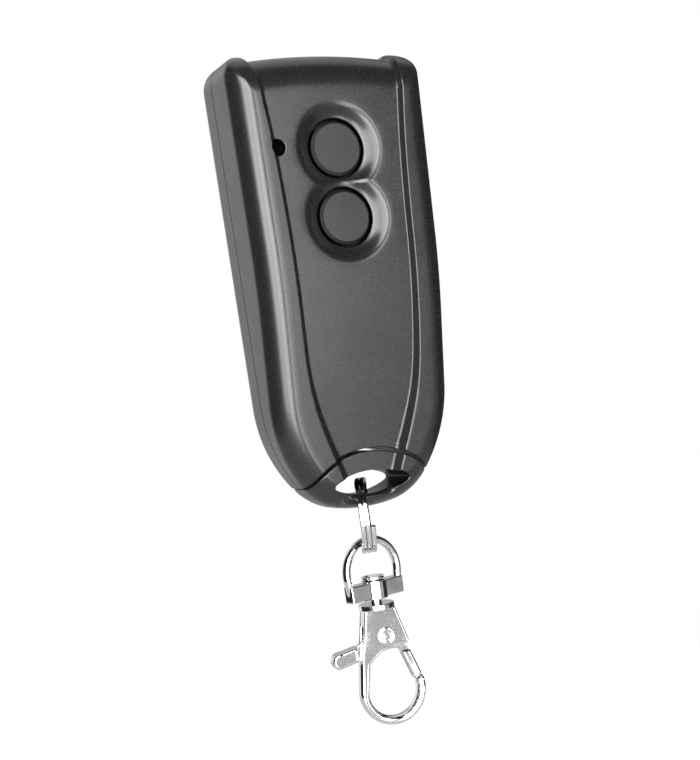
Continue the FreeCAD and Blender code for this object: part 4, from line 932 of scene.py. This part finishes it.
def make_ring_skin():
    """One wire wound on itself, its section a square with round corners."""
    half = WIRE / 2
    radius = RING_ACROSS / 2 - half
    turns = np.linspace(0, 2 * math.pi, WIRE_SIDES, endpoint=False) + math.pi / WIRE_SIDES
    section = half * signed_power(np.c_[np.cos(turns), np.sin(turns)], 2 / 3.4)
    face = signed_power(section / half, 2.4)
    skin = Skin(RING_YAW)
    rings = []
    for degree in np.linspace(0, RING_SWEEP, RING_STATIONS):
        first, last, start, end = next(s for s in COIL_SPANS if degree <= s[1])
        level = COIL_PITCH * (start + (end - start) * smooth((degree - first) / (last - first)))
        a = math.radians(RING_START + degree)
        out = radius + section[:, 0]
        spots = np.c_[level + section[:, 1], out * math.sin(a), RING_Z - out * math.cos(a)]
        normals = np.c_[face[:, 1], face[:, 0] * math.sin(a), -face[:, 0] * math.cos(a)]
        rings.append(skin.add(spots, normals))
        if degree in (0, RING_SWEEP):
            sign = -1 if degree == 0 else 1
            along = sign * np.array([0, math.cos(a), math.sin(a)])
            lid = [int(v) for v in skin.add(spots, np.tile(along, (len(spots), 1)))]
            skin.faces.append(tuple(lid[::-1] if sign < 0 else lid))
    for a, b in zip(rings, rings[1:]):
        skin.band(b, a)
    return skin.build("split_ring_skin", BRIGHT, "split_ring")


def make_bail_skin():
    """An arched wire, the band at its feet, and the hub on the band."""
    skin = Skin(BAIL_YAW)
    low = BAIL_FOOT + 0.6
    arch = [(4.1, low), (5.05, low)] + bend(0, BAIL_Z, BAIL_OUTER, -8, 188, 90)
    arch += [(-5.05, low), (-4.1, low)] + bend(0, BAIL_Z, BAIL_INNER, 188, -8, 80)
    slab(skin, softened(arch, 0.12), [], -0.72, 0.72, 0.52, 0.66)
    high = BAIL_FOOT + BAND_TALL
    band = [(-5.1, BAIL_FOOT), (5.1, BAIL_FOOT), (5.17, high), (-5.17, high)]
    slab(skin, softened(band, 0.12), [], -1.05, 1.05, 0.22)
    top, low = high + 0.15, BAIL_FOOT - 0.05
    hub = [(0.95, low), (HUB_RADIUS, low), (HUB_RADIUS, top), (0.95, top)]
    lathe(skin, hub, (0, 0), "z", 0.07)
    return skin.build("swivel_bail_skin", BRIGHT, "swivel_bail")


def make_rivet_skin():
    """The shank through the hub and its dished head."""
    skin = Skin(HOOK_YAW)
    foot, seat = -52.6, BAIL_FOOT + 2.9
    profile = [(0, foot), (SHANK, foot), (SHANK, seat), (1.6, seat), (1.85, seat + 0.2), (1.85, seat + 0.6),
               (1.45, seat + 0.6), (0.8, seat + 0.28), (0, seat + 0.25)]
    lathe(skin, profile, (0, 0), "z", 0.07)
    return skin.build("swivel_rivet_skin", BRIGHT, "snap_hook")


def make_hook_skin():
    """The open loop, two plates with the gate's slot between them, webs that join them, and the collar."""
    skin = Skin(HOOK_YAW)
    band = [(-2.3, LOOP_Z + 7.4), (-4, LOOP_Z + 5.2)] + bend(LOOP_X, LOOP_Z, LOOP_OUTER, 176, 378, 110)
    band += bend(LOOP_X, LOOP_Z, LOOP_INNER, 373, 184, 90)
    band += [(-2.35, LOOP_Z + 4.6), (-0.6, LOOP_Z + 6.4), (1.2, LOOP_Z + 6.9), (1.2, LOOP_Z + 7.4)]
    slab(skin, softened(band, 0.13), [], -LOOP_HALF, LOOP_HALF, 0.58, 0.85)
    top = BAIL_FOOT - 1.6
    plate = [(-2.45, top), (-3.2, PIVOT - 0.1), (-4, PIVOT - 3.6), (-2.7, PIVOT - 3.9)]
    plate += bend(1.17, LOOP_Z + 0.74, 6.0, 107, 73, 16) + [(4.15, PIVOT - 1.2), (2.55, top)]
    plate = softened(plate, 0.14)
    slab(skin, plate, [], -PLATE_FRONT, -PLATE_REAR, 0.3)
    slab(skin, plate, [], PLATE_REAR, PLATE_FRONT, 0.3)
    upper = [(-2.4, top + 0.02), (-2.78, PIVOT + 1.95), (3.0, PIVOT + 1.95), (2.5, top + 0.02)]
    lower = [(-3.7, PIVOT - 3.3), (-3.95, PIVOT - 3.6), (-2.7, PIVOT - 3.85), (-1.9, PIVOT - 3.5),
             (-1.9, PIVOT - 3.3)]
    for web in (upper, lower):
        slab(skin, softened(web, 0.05), [], -1.2, 1.2, 0.02)
    high, low = BAIL_FOOT - 0.8, BAIL_FOOT - 1.7
    lathe(skin, [(0, low), (COLLAR_RADIUS, low), (COLLAR_RADIUS, high), (0.95, high)], (0, 0), "z", 0.09)
    return skin.build("hook_body_skin", BRIGHT, "snap_hook")


def make_gate_skin():
    """The gate's thin web with its hub, the arm that closes the loop, and the thumb tab."""
    skin = Skin(HOOK_YAW)
    front, rear = -0.78, 0.22
    arm_in, arm_out = (2.75, PIVOT - 2.75), (4.25, PIVOT - 2.75)
    tip_in, tip_out = (4.476, LOOP_Z + 1.203), (5.711, LOOP_Z + 1.935)
    neck_top, neck_low = (-4.2, PIVOT - 0.95), (-4.2, PIVOT - 3.3)
    end = bend(-7.08, PIVOT - 2.78, 1.32, 80, 253, 30)
    web = [(0.2, PIVOT + 1.55), neck_top, (-5, PIVOT - 1.3), (-5, PIVOT - 3.4), neck_low,
           (-0.6, PIVOT - 1.6), (1.3, PIVOT - 1.5), arm_in, tip_in, tip_out, arm_out, (2.1, PIVOT + 0.5)]
    slab(skin, softened(web, 0.1), [], front, rear, 0.12)
    pivot = (PIVOT_X, PIVOT)
    slab(skin, ring(pivot, 1.68, 48), [ring(pivot, 0.75, 32)], front, rear, 0.06)
    slab(skin, softened([arm_in, tip_in, tip_out, arm_out], 0.12), [], -LOOP_HALF, LOOP_HALF, 0.4)
    slab(skin, softened([neck_top] + end + [neck_low], 0.12), [], -1.2, 1.2, 0.45)
    return skin.build("gate_lever_skin", BRIGHT, "trigger_gate")


def make_gate_rivet_skin():
    """The pin with a dimpled head in front and a plain one behind."""
    skin = Skin(HOOK_YAW)
    pin, head, seat, face = 0.7, 1.4, RIVET_SEAT, RIVET_FACE
    lathe(skin, [(pin, 0), (pin, seat), (head, seat), (head, face - 0.1), (1.2, face), (0.85, face),
                 (0.7, face - 0.13), (0, face - 0.15)], (PIVOT_X, PIVOT), "y", 0.05)
    lathe(skin, [(0, -face), (1.2, -face), (head, 0.1 - face), (head, -seat), (pin, -seat), (pin, 0)],
          (PIVOT_X, PIVOT), "y", 0.05)
    return skin.build("gate_rivet_skin", BRIGHT, "snap_hook")


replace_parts(make_ring_skin(), "split_ring")
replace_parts(make_bail_skin(), "swivel_bail")
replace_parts(make_rivet_skin(), "swivel_rivet")
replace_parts(make_hook_skin(), "hook_body")
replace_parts(make_gate_skin(), "gate_lever")
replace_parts(make_gate_rivet_skin(), "gate_rivet")

# Studio

bpy.context.scene.view_settings.view_transform = "Standard"


def lamp(name, place, target, across, power):
    data = bpy.data.lights.new(name, "AREA")
    data.shape = "RECTANGLE"
    data.size, data.size_y = across
    data.energy = power
    obj = bpy.data.objects.new(name, data)
    bpy.context.scene.collection.objects.link(obj)
    obj.location = place
    obj.rotation_mode = "QUATERNION"
    obj.rotation_quaternion = (Vector(target) - Vector(place)).to_track_quat("-Z", "Y")
    return obj


# What gloss sees: grey in front, lighter behind, and these boxes over it, the later ones on top
FRONT_LEVEL, BACK_LEVEL, PLAIN_LEVEL = 0.3, 0.5, 0.8
BOXES = [
    # azimuth from the front towards the right, half width, height angle, half height, soft edge, level
    (0, 200, -70, 45, 30, 0.5),     # table
    (0, 200, 72, 36, 16, 0.85),     # ceiling
    (0, 92, 48, 34, 14, 0.02),      # dark flag above the camera
    (96, 48, 0, 44, 16, 0.04),      # dark flag on the right
    (-107, 37, 0, 70, 10, 0.03),    # dark flag on the left
    (-162, 16, 8, 36, 16, 1.1),     # white card behind on the left
    (-30, 11, 9, 30, 10, 9.0),      # soft box on the left
    (-12, 9, 4, 34, 9, 15),         # soft box nearer the middle
    (30, 32, -35, 28, 8, 0.55),     # white card in front on the right
    (15, 6, -11, 31, 6, 12),        # narrow soft box that lights the panel
]


def studio_world():
    """White all round for the camera, plain light for colours, and a studio for gloss alone."""
    world = bpy.data.worlds.new("studio")
    bpy.context.scene.world = world
    world.use_nodes = True
    world.cycles.sampling_method = "NONE"  # sampled as a lamp, the studio would light the colours too
    tree = Nodes(world.node_tree)
    back = world.node_tree.nodes["Background"]
    way = tree.add("ShaderNodeSeparateXYZ", {"Vector": tree.add("ShaderNodeTexCoord").outputs["Generated"]})
    x, y, z = way.outputs
    azimuth = tree.math("MULTIPLY", tree.math("ARCTAN2", x, tree.math("MULTIPLY", y, -1.0)), 180 / math.pi)
    height = tree.math("MULTIPLY", tree.math("ARCSINE", z), 180 / math.pi)
    level = tree.ramp(tree.math("ABSOLUTE", azimuth), 85.0, 120.0, FRONT_LEVEL, BACK_LEVEL)
    for centre, half_wide, up, half_tall, edge, value in BOXES:
        off = tree.math("ABSOLUTE", tree.math("SUBTRACT", azimuth, float(centre)))
        across = tree.ramp(off, half_wide + edge / 2, half_wide - edge / 2)
        off = tree.math("ABSOLUTE", tree.math("SUBTRACT", height, float(up)))
        along = tree.ramp(off, half_tall + edge / 2, half_tall - edge / 2)
        share = tree.math("MULTIPLY", across, along)
        level = tree.math("ADD", tree.math("MULTIPLY", level, tree.math("SUBTRACT", 1.0, share)),
                          tree.math("MULTIPLY", share, float(value)))
    path = tree.add("ShaderNodeLightPath").outputs
    seen = tree.math("MAXIMUM", path["Is Camera Ray"], path["Is Transmission Ray"])
    for rays, value in ((path["Is Diffuse Ray"], PLAIN_LEVEL), (seen, 1.0)):
        kept = tree.math("MULTIPLY", level, tree.math("SUBTRACT", 1.0, rays))
        level = tree.math("ADD", kept, tree.math("MULTIPLY", rays, value))
    colour = tree.add("ShaderNodeCombineColor", {"Red": level, "Green": level, "Blue": level})
    tree.feed(back.inputs["Color"], colour)


MIDDLE = Vector((0, -7, -17)) * MM
studio_world()
lamp("key lamp", Vector((-260, -300, 60)) * MM, MIDDLE, (0.12, 0.4), 0.9)


def make_floor():
    """Below the hook and out of the picture, white to the eye."""
    mesh = bpy.data.meshes.new("floor")
    half, level = 0.3, -0.16
    corners = [(-half, -half, level), (half, -half, level), (half, half, level), (-half, half, level)]
    mesh.from_pydata(corners, [], [(0, 1, 2, 3)])
    floor = bpy.data.objects.new("floor", mesh)
    bpy.context.scene.collection.objects.link(floor)
    mat, tree, shader = material("floor_paint", (0.6, 0.6, 0.6), 0.7)
    path = tree.add("ShaderNodeLightPath").outputs
    seen = tree.math("MAXIMUM", path["Is Camera Ray"], path["Is Transmission Ray"])
    seen = tree.math("MAXIMUM", seen, tree.math("MULTIPLY", path["Is Glossy Ray"], 0.15))
    tree.feed(shader.inputs["Emission Strength"], tree.math("MULTIPLY", seen, 0.9))
    shader.inputs["Emission Color"].default_value = (1, 1, 1, 1)
    mesh.materials.append(mat)


make_floor()

# Camera: level, in front and to the left, rolled so that the top leans left

SHOT = dict(azimuth=-25.5, elevation=0.5, distance=205, roll=7.587, pixels_per_mm=6.4131)
CENTRE = (354.08, 390.57)
WIDE, TALL = 700, 760
cam_data = bpy.data.cameras.new("camera")
camera = bpy.data.objects.new("camera", cam_data)
bpy.context.scene.collection.objects.link(camera)
bpy.context.scene.camera = camera
turn, rise = math.radians(SHOT["azimuth"]), math.radians(SHOT["elevation"])
back = Vector((math.sin(turn) * math.cos(rise), -math.cos(turn) * math.cos(rise), math.sin(rise)))
camera.location = MIDDLE + back * SHOT["distance"] * MM
camera.rotation_mode = "QUATERNION"
level = (-back).to_track_quat("-Z", "Y")
camera.rotation_quaternion = level @ Matrix.Rotation(-math.radians(SHOT["roll"]), 3, "Z").to_quaternion()
cam_data.sensor_width = 36
cam_data.lens = SHOT["pixels_per_mm"] * SHOT["distance"] / TALL * 36
cam_data.clip_start = 0.01
cam_data.clip_end = 20
cam_data.shift_x = -(CENTRE[0] - WIDE / 2) / TALL
cam_data.shift_y = (CENTRE[1] - TALL / 2) / TALL
